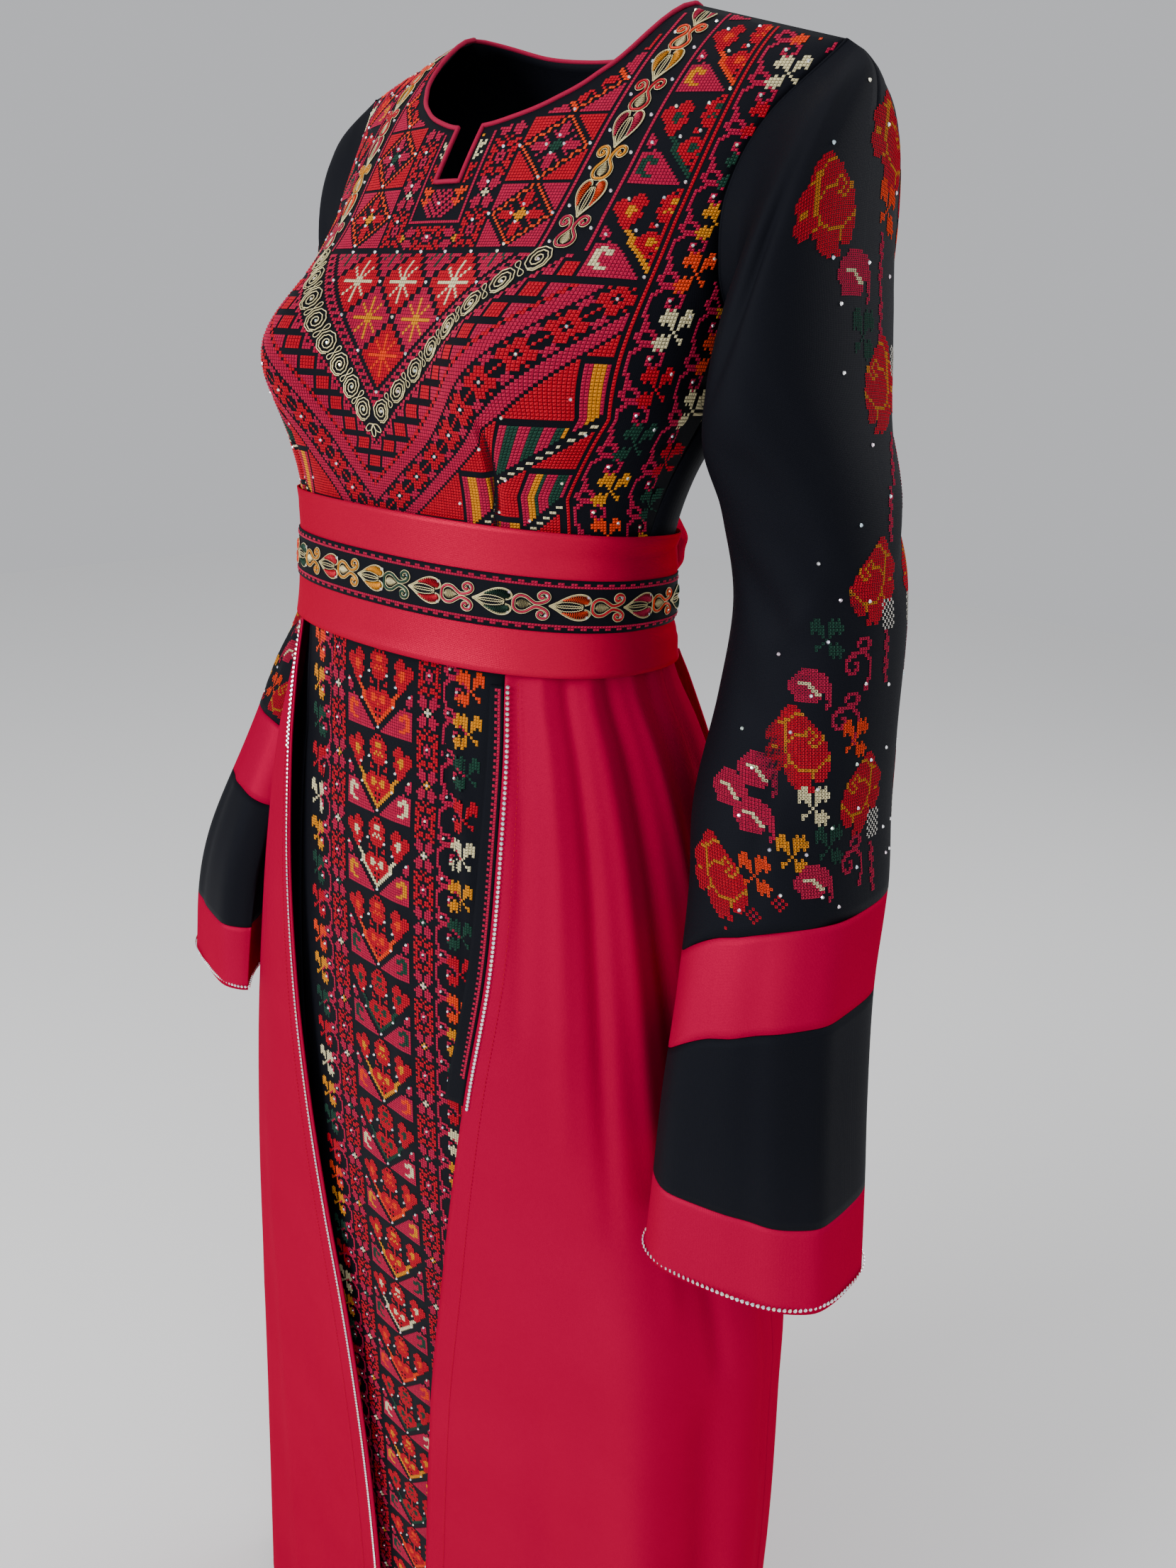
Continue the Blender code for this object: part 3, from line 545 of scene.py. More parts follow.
def thread_material():
    """Embroidery thread: the colour of each stitch with the twist of its strands."""
    cloth = Cloth("embroidery_thread", Specular_IOR_Level=0.09)
    tint = cloth.tint()
    split = cloth.node("ShaderNodeSeparateXYZ", {}, {0: cloth.sewn()})
    u = split[0].math("FRACT")
    v = split[1].math("FRACT")
    cross = (u - v).math("ABSOLUTE").math("MINIMUM", (u + v - 1.0).math("ABSOLUTE"))
    fine = cloth.noise(2200.0)
    dark = cloth.mix(0.55, tint, (0.35, 0.3, 0.3, 1.0), "MULTIPLY")
    cloth.feed("Base Color", cloth.mix(fine * 0.9 + 0.1, dark, tint))
    cloth.feed("Roughness", fine * 0.25 + 0.42)
    cloth.bump(1.0 - cross * 2.4 + fine * 0.35, 0.5, 0.0005)
    return cloth.mat


def metal_material():
    """Twisted metallic cord."""
    cloth = Cloth("metallic_cord", Metallic=0.55, Specular_IOR_Level=0.4)
    tint = cloth.tint()
    fine = cloth.noise(1500.0)
    broad = cloth.noise(260.0, 1.0)
    dark = cloth.mix(0.75, tint, (0.30, 0.26, 0.20, 1.0), "MULTIPLY")
    cloth.feed("Base Color", cloth.mix(fine * 0.6 + broad * 0.6, dark, tint))
    cloth.feed("Roughness", fine * 0.2 + 0.30)
    cloth.bump(fine, 0.4, 0.0004)
    return cloth.mat


def crystal_material():
    """Cut crystal with a rainbow coat, mirror-backed."""
    cloth = Cloth("cut_crystal", Metallic=0.75, Coat_Weight=0.6, Coat_Roughness=0.03)
    fine = cloth.noise(900.0, 1.0)
    cloth.feed("Base Color", cloth.mix(fine * 0.5, cloth.tint(), (0.95, 0.97, 1.0, 1.0)))
    cloth.feed("Roughness", fine * 0.12 + 0.06)
    return cloth.mat


crepe = woven("black_crepe", (0.0026, 0.0028, 0.0042, 1), (0.0062, 0.0066, 0.0098, 1), rough=0.62,
              grain=420.0, lustre=0.0, tint=(0.75, 0.82, 1.0, 1.0), gloss=0.06)
satin = woven("crimson_satin", (0.290, 0.0004, 0.0290, 1), (0.420, 0.0008, 0.0440, 1), rough=0.46,
              grain=520.0, lustre=0.30, tint=(1.0, 0.05, 0.12, 1.0), gloss=0.0)
belt_satin = woven("belt_satin", (0.350, 0.0014, 0.0300, 1), (0.520, 0.0026, 0.0420, 1), rough=0.36,
                   grain=520.0, lustre=0.40, tint=(1.0, 0.05, 0.10, 1.0), gloss=0.0)
rose_cloth = woven("rose_binding", (0.26, 0.0080, 0.034, 1), (0.40, 0.0160, 0.062, 1), rough=0.55,
                   grain=600.0, lustre=0.1, tint=(1.0, 0.4, 0.5, 1.0), gloss=0.04)
thread = thread_material()
metal = metal_material()
crystal = crystal_material()


# -------------------------------------------------------------------- making
def creases(u, v, table):
    """Height of soft troughs and ridges placed over u and v."""
    total = 0.0 * (u + v)
    for u0, v0, u1, v1, wide, high in table:
        du = u1 - u0
        dv = v1 - v0
        t = ((u - u0) * du + (v - v0) * dv) / (du * du + dv * dv)
        t = np.clip(t, 0.0, 1.0)
        gap = np.hypot(u - u0 - t * du, v - v0 - t * dv)
        total = total + high * (0.4 + 0.6 * np.sin(np.pi * t)) * np.exp(-(gap / wide) ** 2)
    return total


class Surface:
    """Cloth surface by two directions, with its creases and its outer side."""

    def __init__(self, point, steps, sign=1.0, relief=None):
        self.point = point
        self.steps = steps
        self.sign = sign
        self.relief = relief

    def at(self, a, b, out=0.0):
        """Real points and outward directions at a height above the cloth."""
        da, db = self.steps
        across = self.point(a + da, b) - self.point(a - da, b)
        along = self.point(a, b + db) - self.point(a, b - db)
        away = np.cross(across, along) * self.sign
        away = away / np.maximum(np.linalg.norm(away, axis=-1, keepdims=True), 1e-9)
        high = out + 0.0 * (a + b)
        if self.relief:
            high = high + self.relief(a, b)
        return GRADE * self.point(a, b) + away * high[..., None], away


def finish(item, slot, *nodes):
    """Let a piece ride and stand for its nodes; the slot is not used."""
    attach(item, "root")
    if nodes:
        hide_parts(*nodes)
    return item


def placed(name, mesh, mat, smooth=True):
    """Object from a mesh, in the scene."""
    mesh.materials.clear()
    mesh.materials.append(mat)
    if smooth:
        mesh.shade_smooth()
    item = bpy.data.objects.new(name, mesh)
    bpy.context.scene.collection.objects.link(item)
    return item


def made(name, work, mat, smooth=True):
    """Object from a mesh that was being worked on."""
    mesh = bpy.data.meshes.new(name)
    work.to_mesh(mesh)
    work.free()
    return placed(name, mesh, mat, smooth)


def grid(cols, rows, wide, high, painted=False):
    """Grid whose map is wide by high, with the shares at which its points lie."""
    work = bmesh.new()
    layer = work.loops.layers.uv.new("cloth")
    if painted:
        work.faces.layers.float_color.new("thread")
    bmesh.ops.create_grid(work, x_segments=cols, y_segments=rows, size=0.5, calc_uvs=True)
    for face in work.faces:
        for loop in face.loops:
            loop[layer].uv = (loop[layer].uv[0] * wide, loop[layer].uv[1] * high)
    return work, np.array([vert.co[:2] for vert in work.verts]) + 0.5


def cut_cloth(name, surface, place, cells, mat, wall, flat, closed=False, cut=None):
    """Cloth sheet laid over a surface and given its wall, its finish and its cut size."""
    work, shares = grid(*cells, *flat)
    points, _ = surface.at(*place(shares[:, 0], shares[:, 1]))
    for vert, point in zip(work.verts, points):
        vert.co = point
    if cut:
        gone = [face for face in work.faces if cut(face.calc_center_median() / GRADE)]
        bmesh.ops.delete(work, geom=gone, context="FACES")
    if closed:
        bmesh.ops.remove_doubles(work, verts=work.verts, dist=WELD)
    if surface.sign < 0:
        bmesh.ops.reverse_faces(work, faces=work.faces)
    item = made(name, work, mat)
    solid = item.modifiers.new("wall", "SOLIDIFY")
    solid.thickness = wall
    solid.offset = -1.0
    finish(item, "black_crepe" if mat == crepe else "crimson_satin", name.replace("_cloth", ""))
    whole = flat[0] * flat[1]
    share = min(1.0, max(0.3, sum(face.area for face in item.data.polygons) / whole))
    whole * share


# -------------------------------------------------------------- cross-stitch
# thread letters with their colours
THREADS = {
    "r": (0.560, 0.0015, 0.0200),
    "p": (0.500, 0.0090, 0.0600),
    "o": (0.920, 0.0560, 0.0060),
    "y": (0.800, 0.2900, 0.0060),
    "v": (0.640, 0.2300, 0.0160),
    "c": (0.840, 0.7600, 0.4400),
    "g": (0.0140, 0.0600, 0.0380),
    "w": (0.800, 0.7800, 0.7000),
    "m": (0.880, 0.7800, 0.4200),
}
EMPTY = " "


def blank(rows, cols):
    """Empty chart."""
    return np.full((rows, cols), EMPTY)


def read(art):
    """Chart from drawn rows, where a dot is bare cloth."""
    return np.array([list(line.replace(".", EMPTY)) for line in art.split()])


def dyed(art, **threads):
    """Copy of a small chart with its accent letters swapped for threads."""
    chart = art.copy()
    for letter, new in threads.items():
        chart[art == letter] = new
    return chart


def stamp(chart, art, row, col):
    """Put a small chart on a big one, its top corner at row and col."""
    high, wide = art.shape
    r0, c0 = max(row, 0), max(col, 0)
    r1, c1 = min(row + high, chart.shape[0]), min(col + wide, chart.shape[1])
    if r1 <= r0 or c1 <= c0:
        return
    piece = art[r0 - row:r1 - row, c0 - col:c1 - col]
    area = chart[r0:r1, c0:c1]
    area[piece != EMPTY] = piece[piece != EMPTY]


class Canvas:
    """Counted ground: columns by length across a surface, rows down it."""

    def __init__(self, surface, sweep, levels, plain=None, fold=None, shift=None, limit=None):
        self.surface = surface
        self.sweep = sweep
        self.levels = levels
        self.plain = plain or surface.point
        self.fold = fold
        self.shift = shift
        self.limit = limit

    def place(self, cols, rows, out):
        """Points and outward directions of places counted in stitches."""
        a = np.full(cols.shape, np.nan)
        b = self.levels(rows)
        for row in np.unique(rows):
            pick = rows == row
            level = float(self.levels(row))
            path = self.plain(self.sweep, np.full_like(self.sweep, level))
            run = run_along(path) * GRADE / STITCH
            run = run - np.interp(0.0, self.sweep, run)
            if self.fold:
                run = run + self.fold(path[:, 0], level)
            if self.shift:
                run = run - self.shift(row)
            a[pick] = np.interp(cols[pick], run, self.sweep, left=np.nan, right=np.nan)
        if self.limit is not None:
            a[b > np.interp(a, self.sweep, self.limit) - SEAM_BARE] = np.nan
        return self.surface.at(a, b, out)

    def net(self, left, right, top, foot):
        """Keep the places of whole stitches, from which spot reads between them."""
        cols, rows = np.meshgrid(np.arange(left, right + 1), np.arange(top, foot + 1))
        points, aways = self.place(cols.ravel(), rows.ravel(), 0.0)
        self.points = points.reshape(*cols.shape, 3)
        self.aways = aways.reshape(*cols.shape, 3)
        self.corner = (left, top)

    def spot(self, cols, rows, out):
        """Points and outward directions between whole stitches."""
        cols = np.asarray(cols, dtype=float) - self.corner[0]
        rows = np.asarray(rows, dtype=float) - self.corner[1]
        i = np.clip(np.floor(rows).astype(int), 0, self.points.shape[0] - 2)
        j = np.clip(np.floor(cols).astype(int), 0, self.points.shape[1] - 2)
        u = np.clip(cols - j, 0.0, 1.0)[..., None]
        v = np.clip(rows - i, 0.0, 1.0)[..., None]

        def mix(net):
            top = net[i, j] * (1.0 - u) + net[i, j + 1] * u
            foot = net[i + 1, j] * (1.0 - u) + net[i + 1, j + 1] * u
            return top * (1.0 - v) + foot * v
        away = mix(self.aways)
        return mix(self.points) + away * out, away

    def sew(self, name, chart, left, top, seed, gap=STITCH_GAP):
        """Cross-stitch a chart whose first cell is at column left and row top."""
        rows, cols = chart.shape
        fade = 1.0 + THREAD_FADE * (np.random.default_rng(seed).random(chart.shape) - 0.5)
        work, shares = grid(cols, rows, cols, rows, painted=True)
        paint = work.faces.layers.float_color["thread"]
        down = np.round((1.0 - shares[:, 1]) * rows)
        points, _ = self.place(left + shares[:, 0] * cols, top + down, THREAD_OUT)
        kept = []
        gone = []
        for face in work.faces:
            middle = face.calc_center_median()
            row = int((0.5 - middle.y) * rows)
            col = int((middle.x + 0.5) * cols)
            corners = points[[vert.index for vert in face.verts]]
            size = np.linalg.norm(corners[0] - corners[2]) * np.linalg.norm(corners[1] - corners[3])
            if chart[row, col] == EMPTY or not size > 0.5 * STITCH * STITCH:
                gone.append(face)
                continue
            shade = np.array(THREADS[chart[row, col]]) * fade[row, col]
            face[paint] = (*shade, 1.0)
            kept.append(face)
        for vert, point in zip(work.verts, points):
            vert.co = point if point[0] == point[0] else (0.0, 0.0, -0.5)
        bmesh.ops.delete(work, geom=gone, context="FACES")
        rims = bmesh.ops.inset_individual(work, faces=kept, thickness=gap * STITCH,
                                          use_even_offset=False)
        bmesh.ops.delete(work, geom=rims["faces"], context="FACES")
        if self.surface.sign < 0:
            bmesh.ops.reverse_faces(work, faces=kept)
        bmesh.ops.poke(work, faces=kept, offset=THREAD_RISE, center_mode="MEAN")
        finish(made(name, work, thread, smooth=False), "crimson_satin")

    def sew_halves(self, names, half, top, foot, seeds, gap=STITCH_GAP):
        """Cross-stitch half a chart and its mirror image, and keep their net down to a row."""
        wide = half.shape[1]
        self.sew(names[0], half, 0, top, seeds[0], gap)
        self.sew(names[1], half[:, :0:-1], 1 - wide, top, seeds[1], gap)
        self.net(-wide, wide, top, foot)


def smooth(points, steps=5):
    """Rounded line through drawn points."""
    p = np.array(points, dtype=float)
    ends = np.concatenate([[2 * p[0] - p[1]], p, [2 * p[-1] - p[-2]]])
    line = []
    for k in range(1, len(ends) - 2):
        for t in np.arange(steps) / steps:
            a, b, c, d = ends[k - 1:k + 3]
            line.append(0.5 * (2 * b + (c - a) * t + (2 * a - 5 * b + 4 * c - d) * t * t
                               + (3 * b - a - 3 * c + d) * t ** 3))
    line.append(p[-1])
    return np.array(line)


def beside(line, gap):
    """Line at a distance beside another."""
    along = np.gradient(line, axis=0)
    along = along / np.maximum(np.linalg.norm(along, axis=1, keepdims=True), 1e-6)
    return line + gap * np.stack([-along[:, 1], along[:, 0]], axis=1)


def tube(name, paths, radius, roundness, closed=False):
    """Mesh of round cords along paths of points, in real metres."""
    curve = bpy.data.curves.new(name, "CURVE")
    curve.dimensions = "3D"
    curve.bevel_depth = radius
    curve.bevel_resolution = roundness
    curve.use_fill_caps = True
    for path in paths:
        line = curve.splines.new("POLY")
        line.points.add(len(path) - 1)
        line.points.foreach_set("co", np.column_stack([path, np.ones(len(path))]).ravel())
        line.use_cyclic_u = closed
    proxy = bpy.data.objects.new(name + "_line", curve)
    mesh = bpy.data.meshes.new_from_object(proxy)
    bpy.data.objects.remove(proxy)
    return mesh


def couch(name, lines, mat, slot):
    """Cords laid on the cloth: each line has a path, a radius and a tint."""
    work = bmesh.new()
    paint = work.faces.layers.float_color.new("thread")
    for kind in sorted({line[1:] for line in lines}):
        mesh = tube(name, [line[0] for line in lines if line[1:] == kind], kind[0], 0)
        before = len(work.faces)
        work.from_mesh(mesh)
        work.faces.ensure_lookup_table()
        for face in work.faces[before:]:
            face[paint] = (*THREADS[kind[1]], 1.0)
        bpy.data.meshes.remove(mesh)
    finish(made(name, work, mat), slot)


def cord(name, path, radius, mat, slot, *nodes):
    """Round cord in a closed loop, as one piece."""
    mesh = tube(name, [path], radius, 1, closed=True)
    mesh.name = name
    finish(placed(name, mesh, mat), slot, *nodes)


def stone_tints(count, seed):
    """Rainbow glints of coated stones."""
    rng = np.random.default_rng(seed)
    kinds = np.array([[0.92, 0.90, 0.92], [0.62, 0.85, 0.95], [0.95, 0.72, 0.85], [0.95, 0.88, 0.60],
                      [0.72, 0.95, 0.80], [0.80, 0.76, 0.98]])
    pick = kinds[rng.choice(len(kinds), count, p=[0.46, 0.16, 0.12, 0.10, 0.08, 0.08])]
    return [(*row, 1.0) for row in pick]


def stones(name, places, aways, radius, seed, *nodes):
    """Cut stones set on a surface, joined in one piece."""
    work = bmesh.new()
    paint = work.faces.layers.float_color.new("thread")
    deep = STONE_DEPTH * radius
    for place, away, tint in zip(places, aways, stone_tints(len(places), seed)):
        away = Vector(away).normalized()
        turn = away.to_track_quat("Z", "Y").to_matrix().to_4x4()
        at = Matrix.Translation(Vector(place) + away * (0.5 * deep)) @ turn
        stone = bmesh.ops.create_cone(work, cap_ends=True, segments=8, radius1=radius,
                                      radius2=STONE_TABLE * radius, depth=deep, matrix=at)
        for face in {f for vert in stone["verts"] for f in vert.link_faces}:
            face[paint] = tint
    finish(made(name, work, crystal, smooth=False), "crystal_trim", *nodes)


def gems(name, ground, spots, radius, seed):
    """Single stones at counted places."""
    spots = np.array(spots, dtype=float)
    points, aways = ground.spot(spots[:, 0], spots[:, 1], THREAD_OUT)
    good = np.isfinite(points).all(axis=1)
    stones(name, points[good], aways[good], radius, seed)


def along_path(path, pitch):
    """Points about every pitch along a path, with their shares of its length."""
    run = run_along(path)
    at = np.linspace(0.0, run[-1], max(2, int(run[-1] / pitch)))
    return between(path, at, run), at / run[-1]


# ------------------------------------------------------------ cloth surfaces
def neck_line(x, front):
    """Height of the neckline, or of the shoulder beyond it."""
    table = NECK_FRONT if front else NECK_BACK
    return np.where(np.abs(x) < NECK_X, lookup(table, 1, np.abs(x)), shoulder_z(x))


def column_top(share, front):
    """Height where each column of the bodice ends."""
    x = np.abs(share) * TIP_X
    z = 0.0 * x
    for _ in range(30):
        z = neck_line(x, front)
        edge = lookup(ARMHOLE, 1 if front else 2, z)
        x = 0.5 * x + 0.5 * np.abs(share) * edge * lookup(TORSO, 1, z)
    return z


FRONT_SPLIT = 0.70


def front_place(s, t):
    """Share and height of the bodice front for a place on its grid."""
    stops = [0.0, 0.26, 0.47, 0.53, 0.74, 1.0]
    share = np.interp(s, stops, [-1.0, -NECK_SHARE, -SLIT_SHARE, SLIT_SHARE, NECK_SHARE, 1.0])
    top = column_top(share, True)
    low = WAIST_Z + (SLIT_FOOT_Z - WAIST_Z) * t / FRONT_SPLIT
    high = SLIT_FOOT_Z + (top - SLIT_FOOT_Z) * (t - FRONT_SPLIT) / (1.0 - FRONT_SPLIT)
    return share, np.where(t < FRONT_SPLIT, low, high)


def back_place(s, t):
    """Share and height of the bodice back for a place on its grid."""
    share = np.interp(s, [0.0, 0.26, 0.74, 1.0], [-1.0, -NECK_SHARE, NECK_SHARE, 1.0])
    return share, WAIST_Z + (column_top(share, False) - WAIST_Z) * t


# x0, z0, x1, z1, width, height of the creases of the bodice front
FRONT_CREASES = [
    [0.0955, -0.262, 0.0925, -0.312, 0.0034, -0.0042],
    [-0.0955, -0.264, -0.0925, -0.312, 0.0034, -0.0040],
    [0.118, -0.292, 0.108, -0.318, 0.0060, -0.0010],
    [-0.120, -0.288, -0.109, -0.318, 0.0060, -0.0010],
    [0.142, -0.150, 0.168, -0.205, 0.0100, -0.0016],
    [-0.143, -0.146, -0.170, -0.200, 0.0100, -0.0014],
    [0.128, -0.120, 0.166, -0.150, 0.0120, -0.0012],
    [-0.126, -0.124, -0.166, -0.158, 0.0120, -0.0012],
    [0.020, -0.236, -0.018, -0.252, 0.0130, -0.0012],
    [-0.052, -0.296, -0.030, -0.312, 0.0080, -0.0008],
    [0.050, -0.292, 0.034, -0.312, 0.0080, -0.0009],
    [0.146, -0.240, 0.132, -0.305, 0.0080, -0.0012],
    [-0.147, -0.236, -0.133, -0.305, 0.0080, -0.0010],
]

# x0, z0, x1, z1, width, height of the creases of the bodice back
BACK_CREASES = [
    [0.060, -0.220, 0.072, -0.318, 0.0065, -0.0026],
    [-0.062, -0.214, -0.070, -0.318, 0.0065, -0.0026],
    [0.004, -0.060, -0.002, -0.318, 0.0026, -0.0016],
    [0.090, -0.120, 0.150, -0.170, 0.0160, -0.0024],
    [-0.086, -0.116, -0.152, -0.176, 0.0170, -0.0022],
    [0.020, -0.262, 0.110, -0.286, 0.0110, -0.0026],
    [-0.012, -0.276, -0.108, -0.292, 0.0120, -0.0028],
    [0.030, -0.302, 0.120, -0.306, 0.0080, -0.0020],
    [-0.040, -0.308, -0.116, -0.302, 0.0080, -0.0018],
]


def body_relief(table, column):
    """Creases of a bodice panel, by x and height."""
    def relief(share, z):
        return creases(share * lookup(ARMHOLE, column, z) * lookup(TORSO, 1, z), z, table)
    return relief


def front_point(share, z, bulge=1.0):
    return bodice_point(share * lookup(ARMHOLE, 1, z), z, True, bulge)


def back_point(share, z):
    return bodice_point(share * lookup(ARMHOLE, 2, z), z, False)


def slit_cut(point):
    """True inside the slit of the neckline."""
    half = SLIT_SHARE * lookup(TORSO, 1, point[2]) * lookup(ARMHOLE, 1, point[2])
    return point[2] > SLIT_FOOT_Z and abs(point[0]) < half


def sleeve_row(z):
    """Sleeve table row that lies at a height."""
    return np.interp(-z, -SLEEVE[:, 1], np.arange(len(SLEEVE), dtype=float))


def seam_row(turn, seam, side, gap=0.0):
    """Sleeve row of a seam line."""
    z, dip = SLEEVE_SEAMS[seam]
    return sleeve_row(z - band_drop(turn, dip, side) - gap)


def sleeve_place(start, end, side):
    """Turn and row on one sleeve piece between two seams, all round."""
    def place(s, t):
        turn = 360.0 * s
        first = np.full_like(turn, -1.0) if start is None else seam_row(turn, start, side, 0.0004)
        return turn, first + (seam_row(turn, end, side) - first) * t
    return place


def sleeve_cloth(side, table):
    """Surface of a sleeve, by turn and row, with its creases."""
    def point(turn, row):
        return sleeve_point(turn, row, side)

    def relief(turn, row):
        z = np.interp(row, np.arange(len(SLEEVE)), SLEEVE[:, 1])
        near = np.mod(turn + 90.0, 360.0) - 90.0
        return creases(near * SLEEVE_DEGREE, z, table) * np.clip((row + 1.0) / 1.5, 0.0, 1.0)
    return Surface(point, (0.5, 0.01), side, relief)


# turn in metres, z, turn, z, width, height of the sleeve creases
SLEEVE_CREASES = [
    [0.095, -0.110, 0.150, -0.190, 0.0100, -0.0034],
    [0.070, -0.085, 0.120, -0.150, 0.0120, -0.0024],
    [0.120, -0.205, 0.060, -0.255, 0.0110, -0.0022],
    [0.150, -0.240, 0.085, -0.300, 0.0130, -0.0032],
    [0.128, -0.300, 0.040, -0.345, 0.0120, -0.0030],
    [0.170, -0.315, 0.100, -0.385, 0.0140, -0.0036],
    [0.075, -0.335, 0.140, -0.372, 0.0080, 0.0018],
    [0.150, -0.400, 0.070, -0.470, 0.0150, -0.0026],
    [0.105, -0.430, 0.120, -0.520, 0.0120, -0.0020],
    [-0.060, -0.120, -0.100, -0.200, 0.0140, -0.0030],
    [-0.120, -0.180, -0.050, -0.260, 0.0130, -0.0028],
    [-0.100, -0.280, -0.020, -0.330, 0.0130, -0.0030],
    [-0.125, -0.350, -0.060, -0.420, 0.0150, -0.0032],
    [-0.090, -0.450, -0.070, -0.530, 0.0150, -0.0024],
    [0.230, -0.180, 0.200, -0.270, 0.0120, -0.0026],
    [0.280, -0.220, 0.330, -0.300, 0.0130, -0.0024],
    [0.020, -0.060, 0.055, -0.105, 0.0090, -0.0014],
    [-0.015, -0.058, -0.045, -0.098, 0.0090, -0.0014],
]

# the same for the flared lower bands
BAND_CREASES = [
    [0.030, -0.500, 0.045, -0.790, 0.0180, 0.0024],
    [0.105, -0.520, 0.118, -0.790, 0.0160, -0.0026],
    [0.165, -0.560, 0.175, -0.790, 0.0200, 0.0026],
    [-0.060, -0.540, -0.055, -0.790, 0.0180, -0.0024],
    [-0.110, -0.600, -0.112, -0.790, 0.0160, 0.0022],
    [0.235, -0.600, 0.240, -0.790, 0.0160, -0.0022],
    [0.300, -0.560, 0.305, -0.790, 0.0180, 0.0020],
]


def skirt_place(foot, top, first, last):
    """Angle and height on a skirt panel whose sides may follow the height."""
    def place(s, t):
        z = foot + (top - foot) * t
        low = first(z)
        return low + (last(z) - low) * s, z
    return place


def skirt_cloth(point, table):
    """Surface of a skirt, by angle and height, with its creases."""
    def relief(angle, z):
        return creases(angle * SKIRT_DEGREE, z, table)
    return Surface(point, (0.2, 0.001), 1.0, relief)


# angle in metres, z, angle, z, width, height of the overskirt creases
OVER_CREASES = [
    [0.196, -0.395, 0.160, -0.640, 0.0105, -0.0030],
    [0.228, -0.395, 0.200, -0.720, 0.0120, 0.0026],
    [0.262, -0.395, 0.236, -0.780, 0.0115, -0.0042],
    [0.296, -0.395, 0.292, -0.840, 0.0125, 0.0032],
    [0.330, -0.395, 0.344, -0.900, 0.0130, -0.0056],
    [0.370, -0.395, 0.396, -0.760, 0.0110, 0.0034],
    [0.404, -0.395, 0.424, -1.020, 0.0130, -0.0062],
    [0.452, -0.395, 0.470, -0.740, 0.0115, -0.0036],
    [0.560, -0.395, 0.548, -0.820, 0.0130, -0.0040],
    [0.664, -0.395, 0.676, -0.700, 0.0120, -0.0028],
    [0.770, -0.395, 0.765, -0.900, 0.0150, -0.0050],
    [0.888, -0.395, 0.880, -0.760, 0.0130, -0.0036],
    [0.985, -0.395, 0.990, -0.840, 0.0140, -0.0044],
    [1.096, -0.395, 1.110, -0.700, 0.0120, -0.0030],
    [1.180, -0.395, 1.172, -0.880, 0.0140, -0.0040],
    [1.270, -0.395, 1.282, -0.640, 0.0110, -0.0028],
    [1.350, -0.395, 1.372, -0.700, 0.0120, -0.0024],
    [0.235, -0.860, 0.250, -1.620, 0.0260, 0.0056],
    [0.330, -0.960, 0.352, -1.620, 0.0240, -0.0058],
    [0.145, -0.980, 0.170, -1.620, 0.0220, -0.0044],
    [1.400, -0.900, 1.420, -1.620, 0.0230, 0.0034],
    [1.480, -0.960, 1.500, -1.620, 0.0190, -0.0028],
    [0.450, -0.940, 0.462, -1.620, 0.0220, 0.0046],
    [0.700, -1.000, 0.690, -1.620, 0.0240, -0.0048],
    [0.930, -1.000, 0.925, -1.620, 0.0220, 0.0046],
]

# the same for the embroidered skirt panel
PANEL_CREASES = [
    [0.085, -0.410, 0.100, -0.620, 0.0050, -0.0024],
    [0.105, -0.410, 0.112, -0.560, 0.0045, 0.0024],
    [-0.085, -0.410, -0.096, -0.600, 0.0050, -0.0022],
    [0.020, -0.500, 0.026, -0.900, 0.0120, 0.0012],
    [-0.030, -0.600, -0.026, -1.100, 0.0130, -0.0012],
    [0.040, -0.900, 0.036, -1.500, 0.0140, -0.0016],
]


def ring(value):
    """Constant edge of a panel."""
    return lambda z: value + 0.0 * z


def left_edge(z):
    return over_edge(z, True)


def right_edge(z):
    return 360.0 + over_edge(z, False)


def panel_left(z):
    return -panel_edge(z)


def under_last(z):
    return 360.0 - panel_edge(z) - 0.2


# angle in metres, z, angle, z, width, height of the belt's soft wrinkles
BELT_CREASES = [
    [0.150, -0.330, 0.420, -0.322, 0.0040, -0.0014],
    [0.230, -0.340, 0.470, -0.336, 0.0030, 0.0012],
    [0.260, -0.376, 0.520, -0.372, 0.0040, -0.0016],
    [0.330, -0.390, 0.560, -0.386, 0.0035, 0.0012],
    [0.380, -0.352, 0.600, -0.350, 0.0036, -0.0016],
    [0.860, -0.330, 1.150, -0.326, 0.0040, -0.0012],
    [0.840, -0.384, 1.100, -0.388, 0.0040, -0.0014],
    [0.900, -0.356, 1.200, -0.352, 0.0034, 0.0012],
    [-0.160, -0.322, -0.030, -0.320, 0.0040, -0.0005],
    [-0.120, -0.392, 0.040, -0.394, 0.0045, -0.0005],
]


def belt_relief(angle, z):
    turn = np.mod(np.asarray(angle) + 90.0, 360.0) - 90.0
    return creases(turn * BELT_DEGREE, z, BELT_CREASES)


def belt_cloth(out):
    """Surface at a distance outside the belt's own."""
    return Surface(lambda angle, z: belt_point(angle, z, out), (0.5, 0.0005), 1.0, belt_relief)


front_cloth = Surface(front_point, (0.002, 0.0005), 1.0, body_relief(FRONT_CREASES, 1))
back_cloth = Surface(back_point, (0.002, 0.0005), -1.0, body_relief(BACK_CREASES, 2))
under_cloth = skirt_cloth(under_point, PANEL_CREASES)
over_cloth = skirt_cloth(over_point, OVER_CREASES)
band_surface = belt_cloth(BELT_THICK + 0.0009)

